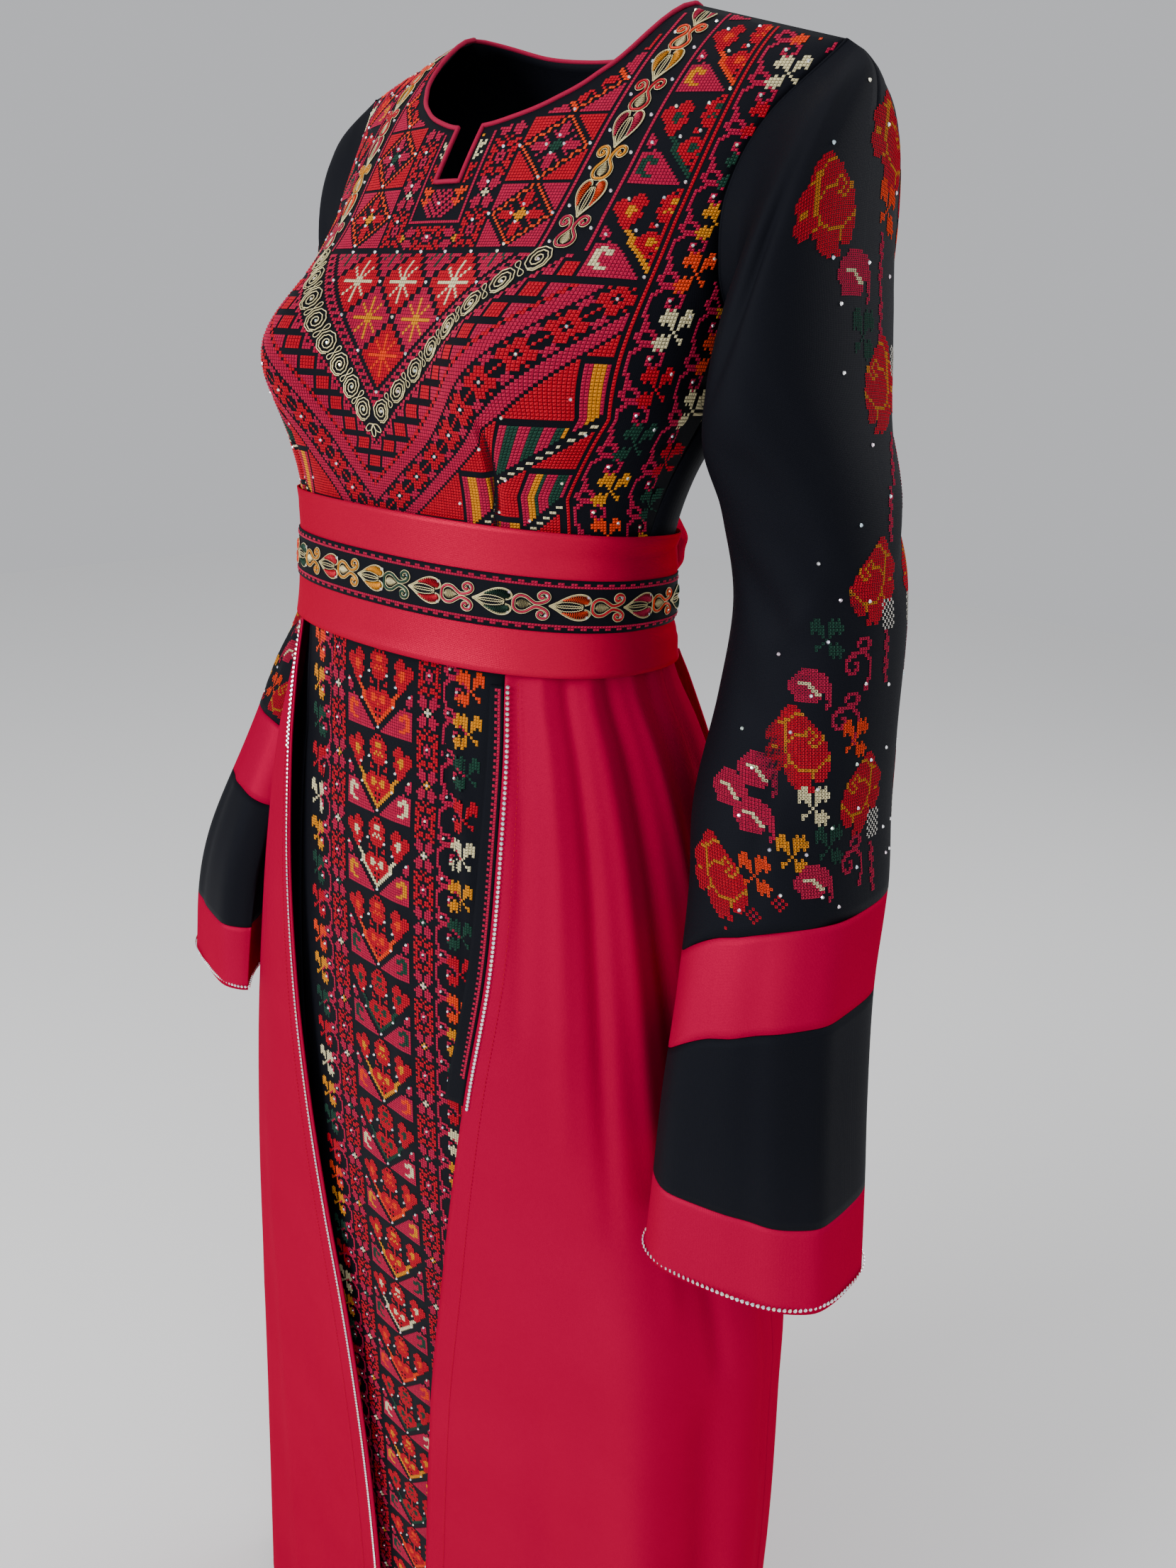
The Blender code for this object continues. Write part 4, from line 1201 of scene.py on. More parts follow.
# --------------------------------------------- bodice, sleeves, skirts, belt
cut_cloth("bodice_front_cloth", front_cloth, front_place, (100, 90), crepe, CREPE_WALL,
          (0.51, 0.38), cut=slit_cut)
cut_cloth("bodice_back_cloth", back_cloth, back_place, (90, 72), crepe, CREPE_WALL,
          (0.415, 0.36))

# name, upper seam, lower seam, rows, cloth, creases, cut size
SLEEVE_PARTS = [
    ("sleeve", None, 0, 92, crepe, SLEEVE_CREASES, (0.42, 0.47)),
    ("sleeve_upper_band", 0, 1, 12, satin, BAND_CREASES, (0.375, 0.066)),
    ("sleeve_black_band", 1, 2, 20, crepe, BAND_CREASES, (0.37, 0.127)),
    ("sleeve_cuff", 2, 3, 12, satin, BAND_CREASES, (0.355, 0.058)),
]
for label, side in SIDES:
    for name, start, end, rows, mat, table, flat in SLEEVE_PARTS:
        cut_cloth(name + "_cloth_" + label, sleeve_cloth(side, table), sleeve_place(start, end, side),
                  (96, rows), mat, SATIN_WALL, flat, closed=True)

# name, first side, last side, columns, rows, cut size
UNDER_PARTS = [
    ("skirt_panel", panel_left, panel_edge, 44, 200, (0.195, 1.18)),
    ("underskirt_left", panel_edge, ring(SIDE_SEAM_LEFT - 0.4), 36, 80, (0.24, 1.19)),
    ("underskirt_back", ring(SIDE_SEAM_LEFT), ring(SIDE_SEAM_RIGHT), 60, 80, (0.60, 1.20)),
    ("underskirt_right", ring(SIDE_SEAM_RIGHT + 0.4), under_last, 36, 80, (0.27, 1.20)),
]
for name, first, last, cols, rows, flat in UNDER_PARTS:
    cut_cloth(name + "_cloth", under_cloth, skirt_place(HEM_Z, PANEL_TOP_Z, first, last),
              (cols, rows), crepe, CREPE_WALL, flat)

# name, first side, last side, columns, cut size
OVER_PARTS = [
    ("overskirt_left", left_edge, ring(SIDE_SEAM_LEFT - 0.2), 80, (0.345, 1.165)),
    ("overskirt_back", ring(SIDE_SEAM_LEFT), ring(SIDE_SEAM_RIGHT), 130, (0.66, 1.17)),
    ("overskirt_right", ring(SIDE_SEAM_RIGHT + 0.2), right_edge, 84, (0.375, 1.17)),
]
for name, first, last, cols, flat in OVER_PARTS:
    cut_cloth(name + "_cloth", over_cloth, skirt_place(OVER_HEM_Z, OVER_TOP_Z, first, last),
              (cols, 150), satin, SATIN_WALL, flat)

cut_cloth("belt_cloth", belt_cloth(BELT_THICK),
          skirt_place(BELT_FOOT_Z, BELT_TOP_Z, ring(0.0), ring(360.0)), (192, 26), belt_satin,
          SATIN_WALL, (0.76, 0.081), closed=True)


def knot_middle():
    """Middle of the knot with its two level directions."""
    base = belt_point(np.array([KNOT_ANGLE]), KNOT_Z, BELT_THICK)[0]
    turn = math.radians(KNOT_ANGLE)
    out = np.array([math.sin(turn), -math.cos(turn), 0.0])
    across = np.array([-out[1], out[0], 0.0])
    return base + out * (KNOT_HALF[1] + 0.0015), across, out


def tail_point(lean, long):
    """Surface of one belt tail, whose top follows the underside of the knot."""
    middle, across, out = knot_middle()

    def point(s, t):
        wide = 2.4 + 3.2 * t
        angle = KNOT_ANGLE - lean * (4.2 + 6.3 * t) + (2.0 * s - 1.0) * wide
        clear = 0.0060 + 0.0140 * (1.0 - t) ** 2 + TAIL_CLEAR * t
        wave = 0.0020 * t * np.sin(2.0 * math.pi * s + lean)
        row = skirt_point(angle, middle[2] - KNOT_HALF[2] - long * t, clear + wave)
        a = (row - middle) @ across / KNOT_HALF[0]
        b = (row - middle) @ out / KNOT_HALF[1]
        under = KNOT_HALF[2] * (1.0 - np.sqrt(np.clip(1.0 - a * a - b * b, 0.0, 1.0)))
        row[..., 2] += (under - 0.0006) * np.clip(1.0 - t, 0.0, 1.0) ** 3
        return row
    return point


def tail_relief(s, t):
    """Lengthwise gathers that fade towards the end of a tail."""
    return 0.0008 * np.sin(22.0 * s) * np.clip(1.0 - t, 0.0, 1.0)


for label, lean, long in (("left", 1.0, 0.30), ("right", -1.0, 0.27)):
    cut_cloth("belt_tail_cloth_" + label, Surface(tail_point(lean, long), (0.01, 0.004), 1.0, tail_relief),
              lambda s, t: (s, 1.0 - t), (28, 70), belt_satin, SATIN_WALL, (0.045, long))


def knot_cloth():
    """Knot of gathered satin."""
    middle, across, out = knot_middle()
    work = bmesh.new()
    work.loops.layers.uv.new("cloth")
    bmesh.ops.create_uvsphere(work, u_segments=64, v_segments=40, radius=1.0, calc_uvs=True)
    for vert in work.verts:
        a, b, c = vert.co
        ridge = 0.05 * math.sin(5.0 * math.atan2(b, a) + 2.6 * c) * (1.0 - c * c)
        ridge += 0.04 * math.sin(9.0 * c + 1.5 * a) * (1.0 - c * c)
        swell = 1.0 + ridge
        place = middle + across * KNOT_HALF[0] * a * swell + out * KNOT_HALF[1] * b * swell
        place[2] += KNOT_HALF[2] * c
        vert.co = Vector(place * GRADE)
    bmesh.ops.recalc_face_normals(work, faces=work.faces)
    return made("belt_knot_cloth", work, belt_satin)


knot = finish(knot_cloth(), "crimson_satin", "belt_knot")

# --------------------------------------------------- charts drawn
CUP_CHART = read("""
rr...............
r.r..............
rrrr......rr.....
aarrr....rrrr....
aarrr...rrrrr.rr.
rrrr....rrrrrrrrr
rarrr....rraarrrr
ararr....raaarrrr
rrrr....rrraarrr.
rrrr....rrrarrr..
rrr......rrrrr...
r...r....rrrrr...
r..rr.....rrr....
r.........rr....p
r.rrr....aa....pp
rrrrrr..aa....ppp
rraarrraa.....ppp
raaarrraa......p.
rraarrraa....p...
arrrrraa...pppppp
rrrrraa...pppbbpp
r.rraa...ppbbbbbp
rrraa...pppbbpbbp
r.aa...pppppppbbp
raa...ppppppppbbp
aa...ppppppppbbbp
a...pppppppbbbppp
...pppppppppppppp
..ppppppppppppppp
.................
""")

LATTICE = read("""
.pp...pp.
.ppp.ppp.
pppp.pppp
.ppp.ppp.
..p.a.p..
...aaa...
..p.a.p..
.ppp.ppp.
pppp.pppp
.ppp.ppp.
.pp...pp.
...r.r...
rr..r..rr
.rrr.rrr.
r.rr.rr.r
rr.....rr
rrr.p.rrr
.r.ppp.r.
rr.p.p.rr
.r.ppp.r.
rrr.p.rrr
rr.....rr
r.rr.rr.r
.rrr.rrr.
rr..r..rr
""")

SPRIG = read("""
.a.a...aa.
.aaaa..aaa
aaaaa.aaaa
aaaaa.aaaa
.a.aa.aa.a
....a.a...
.....a....
..a.a.a...
.aaaa..aa.
aaaaa...a.
.aaaa.....
.a.a......
""")

VINE = read("""
.pppp.....
pp..pp....
pp...p....
.pppp.....
..pppppp..
.pp...ppp.
pp......pp
p....pp..p
p....p...p
p....pp.pp
p.....ppp.
p.........
pp........
.p........
.pp.......
.pp.......
""")

TULIP = read("""
a.a.a
aaaaa
.aaa.
..a..
a.a.a
.aaa.
..a..
""")

BLOOM = read("""
..........rrr.......
.........rrrrr......
........vvvrrrr.....
.......rrrrvrrr.....
......rrrrrrvvrr....
.....rrrrrrrrvvvr...
....rrvrrrrrrvrrrr..
...rrvrvrrrrrvrrrrr.
..vrvrrvvvvrrvrrrrrr
..vrrvrrrrrvrvrrrrrr
.rrvrrvrrrrrvvrrrrrr
.rrrvvrrrrrrrvrrrrr.
.rrrrrrrrrrrrvrrvvr.
rrrrrrrrrrrrrvrrrrrr
vrrrrrrrrrrrvrrrrrrr
vvrrrrrrrrrrvrrrrrrr
rrvrrrrrrrrvvrrrrrr.
rrrvrrrrrrvrrvrrrr..
rrrrvvvvvvrrrr.rrr..
.rrrrvrrrrrrrr......
.rrrrvrrrrrrr.......
..rrr.rrrrrrr.......
......rrrrrr........
.....rrrrrr.........
.....rr.rr..........
""")

ROSE = BLOOM[:, ::-1]

BUD = read("""
....ppppp....
..pppppppp...
.pppppppppp..
.ppppppppppp.
ppppppccccppp
pppppccpppppp
ppppccppppppp
pp.ccppppppp.
pp.pppppppp..
p...ppppppp..
pp...........
.p...........
""")

CHECKER = read(".w.w.w. w.w.w.w " * 4 + ".w.w.w.")

STEM = read("""
..pp.
..p..
.pp..
.ppp.
..pp.
.ppp.
.pp..
..p..
..pp.
.ppp.
.pp..
.ppp.
..pp.
..p..
.pp..
.pp..
""")

GEM = read("""
..a..
.a.a.
a.p.a
.a.a.
..a..
""")


# -------------------------------------------------- bodice ground and chart
ROW_TOP = -98
ROW_FOOT = 92
BODICE_HALF = 122
TILE = 23
CUP_ROWS = 30
LATTICE_ROWS = len(LATTICE)
VINE_ROWS = len(VINE)
# dart: columns that it hides, its top, length and x
DART_COLS = 12.0
DART_TOP_Z = -0.252
DART_LENGTH = 0.045
DART_X = 0.0925
# columns that the pattern eases across the chest and drifts below it
EASE_COLS = 5.0
DRIFT_COLS = 4.5
# height of the first row below the yoke, and x where the rows above are counted
CHEST_ROW_Z = -0.165
CHEST_ROW_X = 0.09

# row, z below the V of the bodice front
BODICE_ROWS = np.array([
    [0.0, -0.165],
    [27.0, -0.217],
    [54.0, -0.2685],
    [82.0, -0.314],
    [92.0, -0.330],
])


def bodice_levels():
    """Height of each row of the bodice front."""
    z = np.linspace(CHEST_ROW_Z, -0.020, 400)
    share = CHEST_ROW_X / (lookup(TORSO, 1, z) * lookup(ARMHOLE, 1, z))
    up = -run_along(front_point(share, z)) * GRADE / STITCH
    rows = np.concatenate([up[::-1], BODICE_ROWS[1:, 0]])
    levels = np.concatenate([z[::-1], BODICE_ROWS[1:, 1]])
    return lambda row: np.interp(row, rows, levels)


def dart_fold(x, z):
    """Columns hidden by the darts, and how the pattern eases across the chest."""
    deep = DART_COLS * np.clip((DART_TOP_Z - z) / DART_LENGTH, 0.0, 1.0)
    step = np.clip((np.abs(x) - DART_X) / 0.004 + 0.5, 0.0, 1.0)
    up = np.clip((z + 0.146) / 0.105, 0.0, 1.0)
    out = np.clip((np.abs(x) - 0.030) / 0.035, 0.0, 1.0)
    out = out - 0.5 * np.clip((np.abs(x) - 0.120) / 0.04, 0.0, 1.0)
    low = np.clip((CHEST_ROW_Z - z) / 0.012, 0.0, 1.0) * np.clip((z + 0.275) / 0.02, 0.0, 1.0)
    drift = DRIFT_COLS * low * np.exp(-(x / 0.055) ** 2)
    return np.sign(x) * (deep * step - EASE_COLS * up * out) + drift


bodice_level = bodice_levels()
bodice_ground = Canvas(front_cloth, np.linspace(-1.0, 1.0, 601), bodice_level,
                       lambda share, z: front_point(share, z, 0.0), dart_fold)


def square_panels(chart, r, c):
    """Diamond squares beside the neck, one tile each."""
    zone = (c >= 23) & (c <= 45) & (r <= -2)
    even = (-2 - r) // TILE % 2 == 0
    u = np.abs((-2 - r) % TILE - 11)
    v = np.abs(c - 34)
    reach = u + v
    least = np.minimum(u, v)
    corners = zone & (reach > 12) & (u < 11.5)
    chart[corners] = np.where(even, "p", "r")[corners]
    chart[zone & ((reach == 10) | (reach == 11)) & ((r + 2 * c) % 3 != 0)] = "o"
    petals = (reach <= 8) & (reach >= 2) & (np.abs(u - v) > 1) & ((u > 1) | (v > 1))
    petals &= ~((least == 2) & (reach > 6))
    petals |= (reach <= 8) & (reach >= 5) & (least == 0)
    chart[zone & petals] = np.where(even, "r", "p")[zone & petals]
    heart = zone & (reach <= 2)
    chart[heart] = np.where(even, "y", "g")[heart]
    chart[zone & ((-2 - r) % TILE == TILE - 1)] = EMPTY


def flower_run(chart, top, left, count, tints, across=False):
    """Run of flowers and lattices, down or across the cloth."""
    for k in range(count):
        piece = dyed(LATTICE, a=tints[k % len(tints)])
        if across:
            stamp(chart, piece.T, top, left + LATTICE_ROWS * k)
        else:
            stamp(chart, piece, top + LATTICE_ROWS * k, left)


def neck_block(chart, r, c):
    """Tulips, frames and lattice round the slit."""
    flower_run(chart, -1 - ROW_TOP - 4 * LATTICE_ROWS, 13, 4, "cgyc")
    chart[((c == 11) & (r <= -11)) | ((r == -11) & (c <= 11))] = "p"
    chart[(c <= 10) & (r < -11)] = EMPTY
    lower = (r >= -23) & (r <= -13) & (c + np.abs(r + 17) <= 8)
    chart[lower & ((r + c) % 3 != 0)] = "p"
    chart[(r <= 0) & (r >= -10) & (c <= 12)] = EMPTY
    across = blank(9, 40)
    flower_run(across, 0, 0, 2, "cy", across=True)
    chart[-9 - ROW_TOP:-ROW_TOP, 0:13] = across[:, 18:31]


def v_bands(chart, r, c):
    """Everything that follows the V below the yoke."""
    d = r + c - 54
    below = (r >= 1) & (c <= 80) & ((c < 62) | (r >= 9))
    inside = below & (d < -13)
    # diamonds inside the V, each with a star of rays
    i = np.round((c + r - 9) / 22.0 - 0.001).astype(int)
    j = np.round((c - r + 9) / 22.0 - 0.001).astype(int)
    u = np.abs(c - 11 * (i + j))
    v = np.abs(r - 9 - 11 * (i - j))
    level = np.clip(i - j + 1, 0, 3)
    fill = np.array(list("prpr"))[level]
    ray = np.array(list("gcyo"))[level]
    holes = (u + v == 11) | ((u + v == 10) & (np.mod(u - v, 4) == 2))
    chart[inside] = fill[inside]
    straight = ((u == 0) | (v == 0)) & (u + v <= 6)
    slanted = (np.abs(u - v) == 0) & (u >= 1) & (u <= 4)
    rays = inside & (straight | slanted) & ((level > 0) | (v > 2))
    chart[rays] = ray[rays]
    chart[inside & holes] = EMPTY
    chart[below & (d >= -13) & (d <= -12)] = EMPTY
    # ladder of lozenge holes
    t = np.mod(c - r, 4)
    chain = below & (d >= -11) & (d <= -8)
    chart[chain] = "p"
    chart[chain & (((d == -10) & (t == 0)) | ((d == -9) & (t == 1)))] = EMPTY
    chart[below & (d == 4)] = "p"
    chart[below & (d == 5) & (np.mod(c, 2) == 0)] = "p"
    # blocks of level stitches between two toothed lines
    a = np.mod(r - 3, 6)
    b = d - a
    block = below & (d >= 6) & (d <= 17) & (a < 4)
    chart[block & (b <= 5)] = "p"
    chart[block & (b >= 7) & (b <= 11)] = "r"
    chart[block & (b >= 13)] = "p"
    chart[below & (d == 18)] = "r"
    chart[below & (d == 19) & (np.mod(c, 2) == 0)] = "r"
    chart[below & (d >= 20) & (d <= 25)] = "p"
    # flowers in a lattice
    n = np.round((c - r + 1) / 16.0).astype(int)
    u = c - 43 - 8 * n
    v = r - 44 + 8 * n
    far = np.maximum(np.abs(u), np.abs(v))
    near = np.minimum(np.abs(u), np.abs(v))
    lattice = below & (d >= 27) & (d <= 39)
    chart[lattice & (np.abs(u) == np.abs(v)) & (far <= 4)] = "r"
    chart[lattice & (far >= 2) & (far <= 4) & (near <= 1)] = "r"
    chart[lattice & (np.abs(u + v) >= 4) & (np.abs(np.abs(u - v) - 8) <= 2)] = "p"
    chart[below & (d >= 41) & (d <= 45)] = "p"
    chart[below & (d >= 47)] = EMPTY
    # triangles and stripes below the V
    tiles = below & (d >= 47)
    m = np.mod(d - 47, 27)
    turn = (d - 47) // 27
    a = np.mod(c - 1 + 6 * turn, 18)
    accent = np.where((c // 18 + turn) % 2 == 0, "y", "g")
    chart[tiles & (m <= a - 1)] = "r"
    stripes = tiles & (m > a + 1) & (m < 22)
    odd = (a // 3) % 2 == 0
    chart[stripes & odd] = "p"
    pick = stripes & ~odd
    chart[pick] = accent[pick]
    chart[tiles & (m == 24) & (np.mod(c, 2) == 0)] = "c"
    chart[tiles & (m == 25) & (np.mod(c, 2) == 1)] = "c"
    chart[tiles & (a == 0)] = EMPTY


def bodice_chart():
    """Half of the bodice front, from the centre to the armhole."""
    chart = blank(ROW_FOOT - ROW_TOP, BODICE_HALF)
    r, c = np.mgrid[ROW_TOP:ROW_FOOT, 0:BODICE_HALF]
    neck_block(chart, r, c)
    square_panels(chart, r, c)
    v_bands(chart, r, c)
    # stripe of couched cord between two fine lines
    upper = r <= 0
    chart[upper & (c >= 46) & (c <= 61)] = EMPTY
    chart[upper & ((c == 47) | (c == 61))] = "p"
    chart[((r == 0) & (c <= 61)) | ((r == 8) & (c > 61) & (c <= 80))] = EMPTY
    # column of cups
    for i in range(4):
        cup = dyed(CUP_CHART[:, ::-1], a="ygoy"[i], b="cgyo"[i])
        stamp(chart, cup, -CUP_ROWS * (i + 1) - ROW_TOP + 8, 63)
    chart[:, 80] = EMPTY
    chart[(c == 81) & (r > -96)] = "r"
    # vines and sprigs towards the armhole
    for left, first in ((83, 6), (100, 12)):
        for k in range(13):
            stamp(chart, VINE, first + VINE_ROWS * (k - 1), left)
    for left, first, tints in ((88, 0, "yocrg"), (105, 6, "gyocr")):
        for k in range(12):
            stamp(chart, dyed(SPRIG, a=tints[k % 5]), first + VINE_ROWS * k, left)
    # tulips beside the slit
    for i, accent in enumerate("grycro"):
        stamp(chart, dyed(TULIP, a=accent), -63 + 8 * i - ROW_TOP, 5)
    # bare cloth at the neck opening, its slit and the shoulder
    z = bodice_level(r)
    x = c * STITCH / GRADE
    chart[(z > neck_line(x, True) - 0.0040) & (x < NECK_X)] = EMPTY
    chart[z > shoulder_z(x) - 0.0015] = EMPTY
    chart[(c <= 6) & (z > SLIT_FOOT_Z - 0.004)] = EMPTY
    return chart


bodice_ground.sew_halves(("bodice_stitches_left", "bodice_stitches_right"), bodice_chart(), ROW_TOP,
                         ROW_FOOT, (3, 4))

# ----------------------------------------- couched cords, in millimetres
# tips of a leaf and of a lyre, from its root
LEAF_REACH = 25.5
LYRE_REACH = 22.8
LYRE = [(1.5, 0.0), (2.0, 3.0), (5.0, 5.2), (9.0, 4.9), (12.5, 2.7), (15.2, 1.2), (18.5, 1.5), (22.0, 3.0),
        (23.6, 5.4), (22.4, 7.9), (19.6, 8.5), (17.4, 7.0), (17.6, 5.0), (19.4, 4.4), (20.5, 5.6)]
LOBE = [(0.0, 0.0), (4.5, 2.4), (9.0, 5.2), (14.0, 7.6), (19.0, 8.6), (23.6, 7.7), (26.2, 5.0), (25.4, 2.4),
        (22.4, 1.2)]
LEAF_OUTER = [(8.5, 4.4), (14.0, 6.8), (19.0, 7.7), (23.2, 6.7), (25.0, 4.6), (24.0, 2.8)]
LEAF_INNER = [(8.5, 4.0), (13.0, 4.0), (17.0, 3.4), (20.0, 2.9), (22.0, 2.5), (23.6, 2.4)]
LEAF_VEIN = [(2.5, 0.6), (8.0, 3.4), (13.0, 3.8), (18.0, 3.0), (21.5, 1.4)]
LYRE_DROP = [(3.4, 0.0), (4.6, 1.9), (7.0, 2.8), (9.6, 2.0), (12.5, 0.2)]
PETAL = [(0.0, 0.0), (3.0, 1.7), (6.4, 1.2), (7.4, 0.0), (6.4, -1.2), (3.0, -1.7), (0.0, 0.0)]


def hatch(low, high, count):
    """Zigzag of satin stitches between two lines."""
    t = np.linspace(0.0, 1.0, count)
    line = np.empty((2 * count, 2))
    line[0::2] = between(low, t)
    line[1::2] = between(high, t)
    return line


def leaf_lines(tint):
    """Heart-ended leaf: coloured lobes, metallic middle and outline."""
    lines = []
    lobe = smooth(LOBE)
    for flip in np.array([[1.0, 1.0], [1.0, -1.0]]):
        lines.append((lobe * flip, 0.00034, "m"))
        lines.append((beside(lobe, -0.75) * flip, 0.00022, "m"))
        lines.append((hatch(smooth(LEAF_INNER) * flip, smooth(LEAF_OUTER) * flip, 18), 0.00052, tint))
        for share in (0.2, 0.8):
            vein = smooth([(x, y * share) for x, y in LEAF_VEIN], 8)
            vein[:, 1] += 0.28 * np.cos(vein[:, 0] * 4.0)
            lines.append((vein * flip, 0.00024, "m"))
    return lines


def lyre_lines(tint):
    """Round bulb with two curled ends, edged in metal."""
    lines = []
    scroll = smooth(LYRE)
    for flip in np.array([[1.0, 1.0], [1.0, -1.0]]):
        lines.append((scroll * flip, 0.00062, tint))
        lines.append((beside(scroll, 1.0) * flip, 0.00026, "m"))
        lines.append((beside(scroll, -1.0) * flip, 0.00026, "m"))
    drop = smooth(LYRE_DROP)
    lines.append((hatch(drop, drop * np.array([1.0, -1.0]), 14), 0.00034, "m"))
    return lines


def laid(ground, lines, col, row, turn, size=1.0, tall=1.0):
    """Lines in millimetres, laid from a column and row in a direction in degrees."""
    c = math.cos(math.radians(turn)) * size * 0.001 / STITCH
    s = math.sin(math.radians(turn)) * size * 0.001 / STITCH
    placed_lines = []
    for line, radius, tint in lines:
        x, y = line[:, 0], line[:, 1] * tall
        path, _ = ground.spot(col + x * c - y * s, row + x * s + y * c, radius + THREAD_OUT)
        placed_lines.append((path, radius, tint))
    return placed_lines


def chain(ground, col, row, turn, tints, size=1.0):
    """Leaves and lyres in turn along a straight stripe."""
    lines = []
    reach = 0.0
    for k, tint in enumerate(tints):
        kind = leaf_lines if k % 2 else lyre_lines
        step = reach * size * 0.001 / STITCH
        at = (col + step * math.cos(math.radians(turn)), row + step * math.sin(math.radians(turn)))
        lines += laid(ground, kind(tint), at[0], at[1], turn, size)
        reach += LEAF_REACH if k % 2 else LYRE_REACH
    return lines


def spiral(across, turns=2.8, steps=140):
    """Flat scalloped spiral that closes in a ring."""
    t = np.linspace(0.14, 1.22, steps)
    angle = 2.0 * math.pi * turns * t
    reach = 0.5 * across * np.minimum(t, 1.0) * (1.0 + 0.035 * np.cos(9.0 * angle))
    return np.stack([reach * np.cos(angle), reach * np.sin(angle)], axis=1)


def clipped(lines):
    """Cords cut off at the shoulder seam."""
    kept = []
    for path, radius, tint in lines:
        top = shoulder_z(np.abs(path[:, 0]) / GRADE) - 0.0030
        good = np.isfinite(path).all(axis=1) & (path[:, 2] / GRADE < top)
        stop = len(good) if good.all() else int(np.argmin(good))
        if stop > 2:
            kept.append((path[:stop], radius, tint))
    return kept


# columns and rows from one spiral of the V to the next
V_STEP = 6.5


def v_spot(k):
    """Column and row of a spiral on the V."""
    return 4.3 + V_STEP * k, 48.2 - V_STEP * k


def v_cord(ground, side):
    """Spirals and small loops along one arm of the V."""
    lines = []
    turn = -50.0 if side > 0 else 230.0
    t = np.linspace(0.0, 2.0 * math.pi, 40)
    curl = spiral(12.6) * np.array([1.0, side])
    loop = np.stack([8.4 + 1.3 * np.sin(2.0 * t), 5.4 * np.sin(t)], axis=1)
    for k in range(8):
        col, row = v_spot(k)
        lines += laid(ground, [(curl, 0.00038, "m")], side * col, row, turn)
        if k < 7:
            lines += laid(ground, [(loop, 0.00030, "m")], side * col, row, turn)
    return lines


def apex_cord(ground):
    """Three small loops that point down from the V."""
    petals = []
    for turn in (30.0, 90.0, 150.0):
        petals += laid(ground, [(smooth(PETAL), 0.00034, "m")], 0.0, 52.4, turn)
    return petals


for label, side in SIDES:
    lines = clipped(chain(bodice_ground, side * 54.0, -0.5, -90.0, "poypryop", 0.86))
    lines += v_cord(bodice_ground, side)
    if side > 0:
        lines += apex_cord(bodice_ground)
    couch("bodice_cords_" + label, lines, metal, "crystal_trim")

# --------------------------------------------------------- stones on bodice
# column and row of single stones: neck, diamonds in the V, tiles below it
NECK_GEMS = [(17.0, -11.0), (17.0, -24.0), (17.0, -36.0), (17.0, -49.0), (17.0, -61.0), (0.5, -5.0),
             (0.5, -17.0)]
DIAMOND_GEMS = [(11.0, 0.5), (0.5, 0.5), (22.0, 0.5), (11.0, 9.5), (33.0, 9.5), (0.5, 20.0),
                (22.0, 20.0), (11.0, 30.5), (0.5, 42.5), (33.0, 0.5)]
CUP_GEMS = [(79.5, 6.0), (64.5, -6.0), (72.0, -8.0), (77.0, -10.0), (66.0, -18.0), (75.5, -19.0)]
TILE_GEMS = [(46.0, 56.0), (56.0, 46.0), (62.0, 66.0), (72.0, 40.0), (78.0, 50.0), (60.0, 78.0),
             (78.0, 66.0), (70.0, 80.0), (20.0, 84.0), (36.0, 76.0), (6.0, 88.0)]


def bodice_gems():
    """Places of the stones on the left half of the bodice."""
    spots = [(34.0, -2.0 - TILE * k) for k in range(5)]
    spots += [(c, -13.0 - TILE * k) for c in (22.5, 45.5) for k in range(4)]
    spots += [(34.0 + a, -13.0 - TILE * k + b) for k in range(4)
              for a, b in ((0, -3), (0, 3), (-3, 0), (3, 0))]
    spots += NECK_GEMS + DIAMOND_GEMS
    spots += [v_spot(k) for k in range(8)]
    spots += [(c, r - 12.4 * k) for c, r in ((49.6, -3.0), (59.6, -8.0)) for k in range(8)]
    spots += [(43.5 + 8.0 * n, 44.5 - 8.0 * n) for n in range(-5, 5)]
    spots += [(c, r - CUP_ROWS * k) for k in range(4) for c, r in CUP_GEMS]
    spots += TILE_GEMS
    spots += [(c, r + VINE_ROWS * k) for c, r in ((89.0, -84.0), (97.0, -80.0), (106.0, -78.0))
              for k in range(11)]
    c, r = np.array(spots).T
    z = bodice_level(r)
    x = c * STITCH / GRADE
    fair = (z < neck_line(x, True) - 0.004) & (z < shoulder_z(x) - 0.002)
    fair &= (c > 7) | (z < SLIT_FOOT_Z - 0.004)
    return [spot for spot, keep in zip(spots, fair) if keep]


def gem_halves(name, ground, spots, seed):
    """Single stones on both sides of the middle."""
    gems(name + "_left", ground, spots, GEM_RADIUS, seed)
    gems(name + "_right", ground, [(-c, r) for c, r in spots if c > 1], GEM_RADIUS, seed + 1)


gem_halves("bodice_stones", bodice_ground, bodice_gems(), 21)

# ---------------------------------------------------------------- belt band
BAND_ROWS = 20
BAND_HALF = 180
cut_cloth("belt_band_cloth", band_surface,
          skirt_place(BAND_LOW, BAND_HIGH, ring(-BAND_REACH), ring(BAND_REACH)), (160, 10), crepe,
          THIN_WALL, (0.476, 0.029))


def band_level(row):
    """Height of each stitch row of the band."""
    return BAND_HIGH + (BAND_LOW - BAND_HIGH) * np.asarray(row, dtype=float) / BAND_ROWS


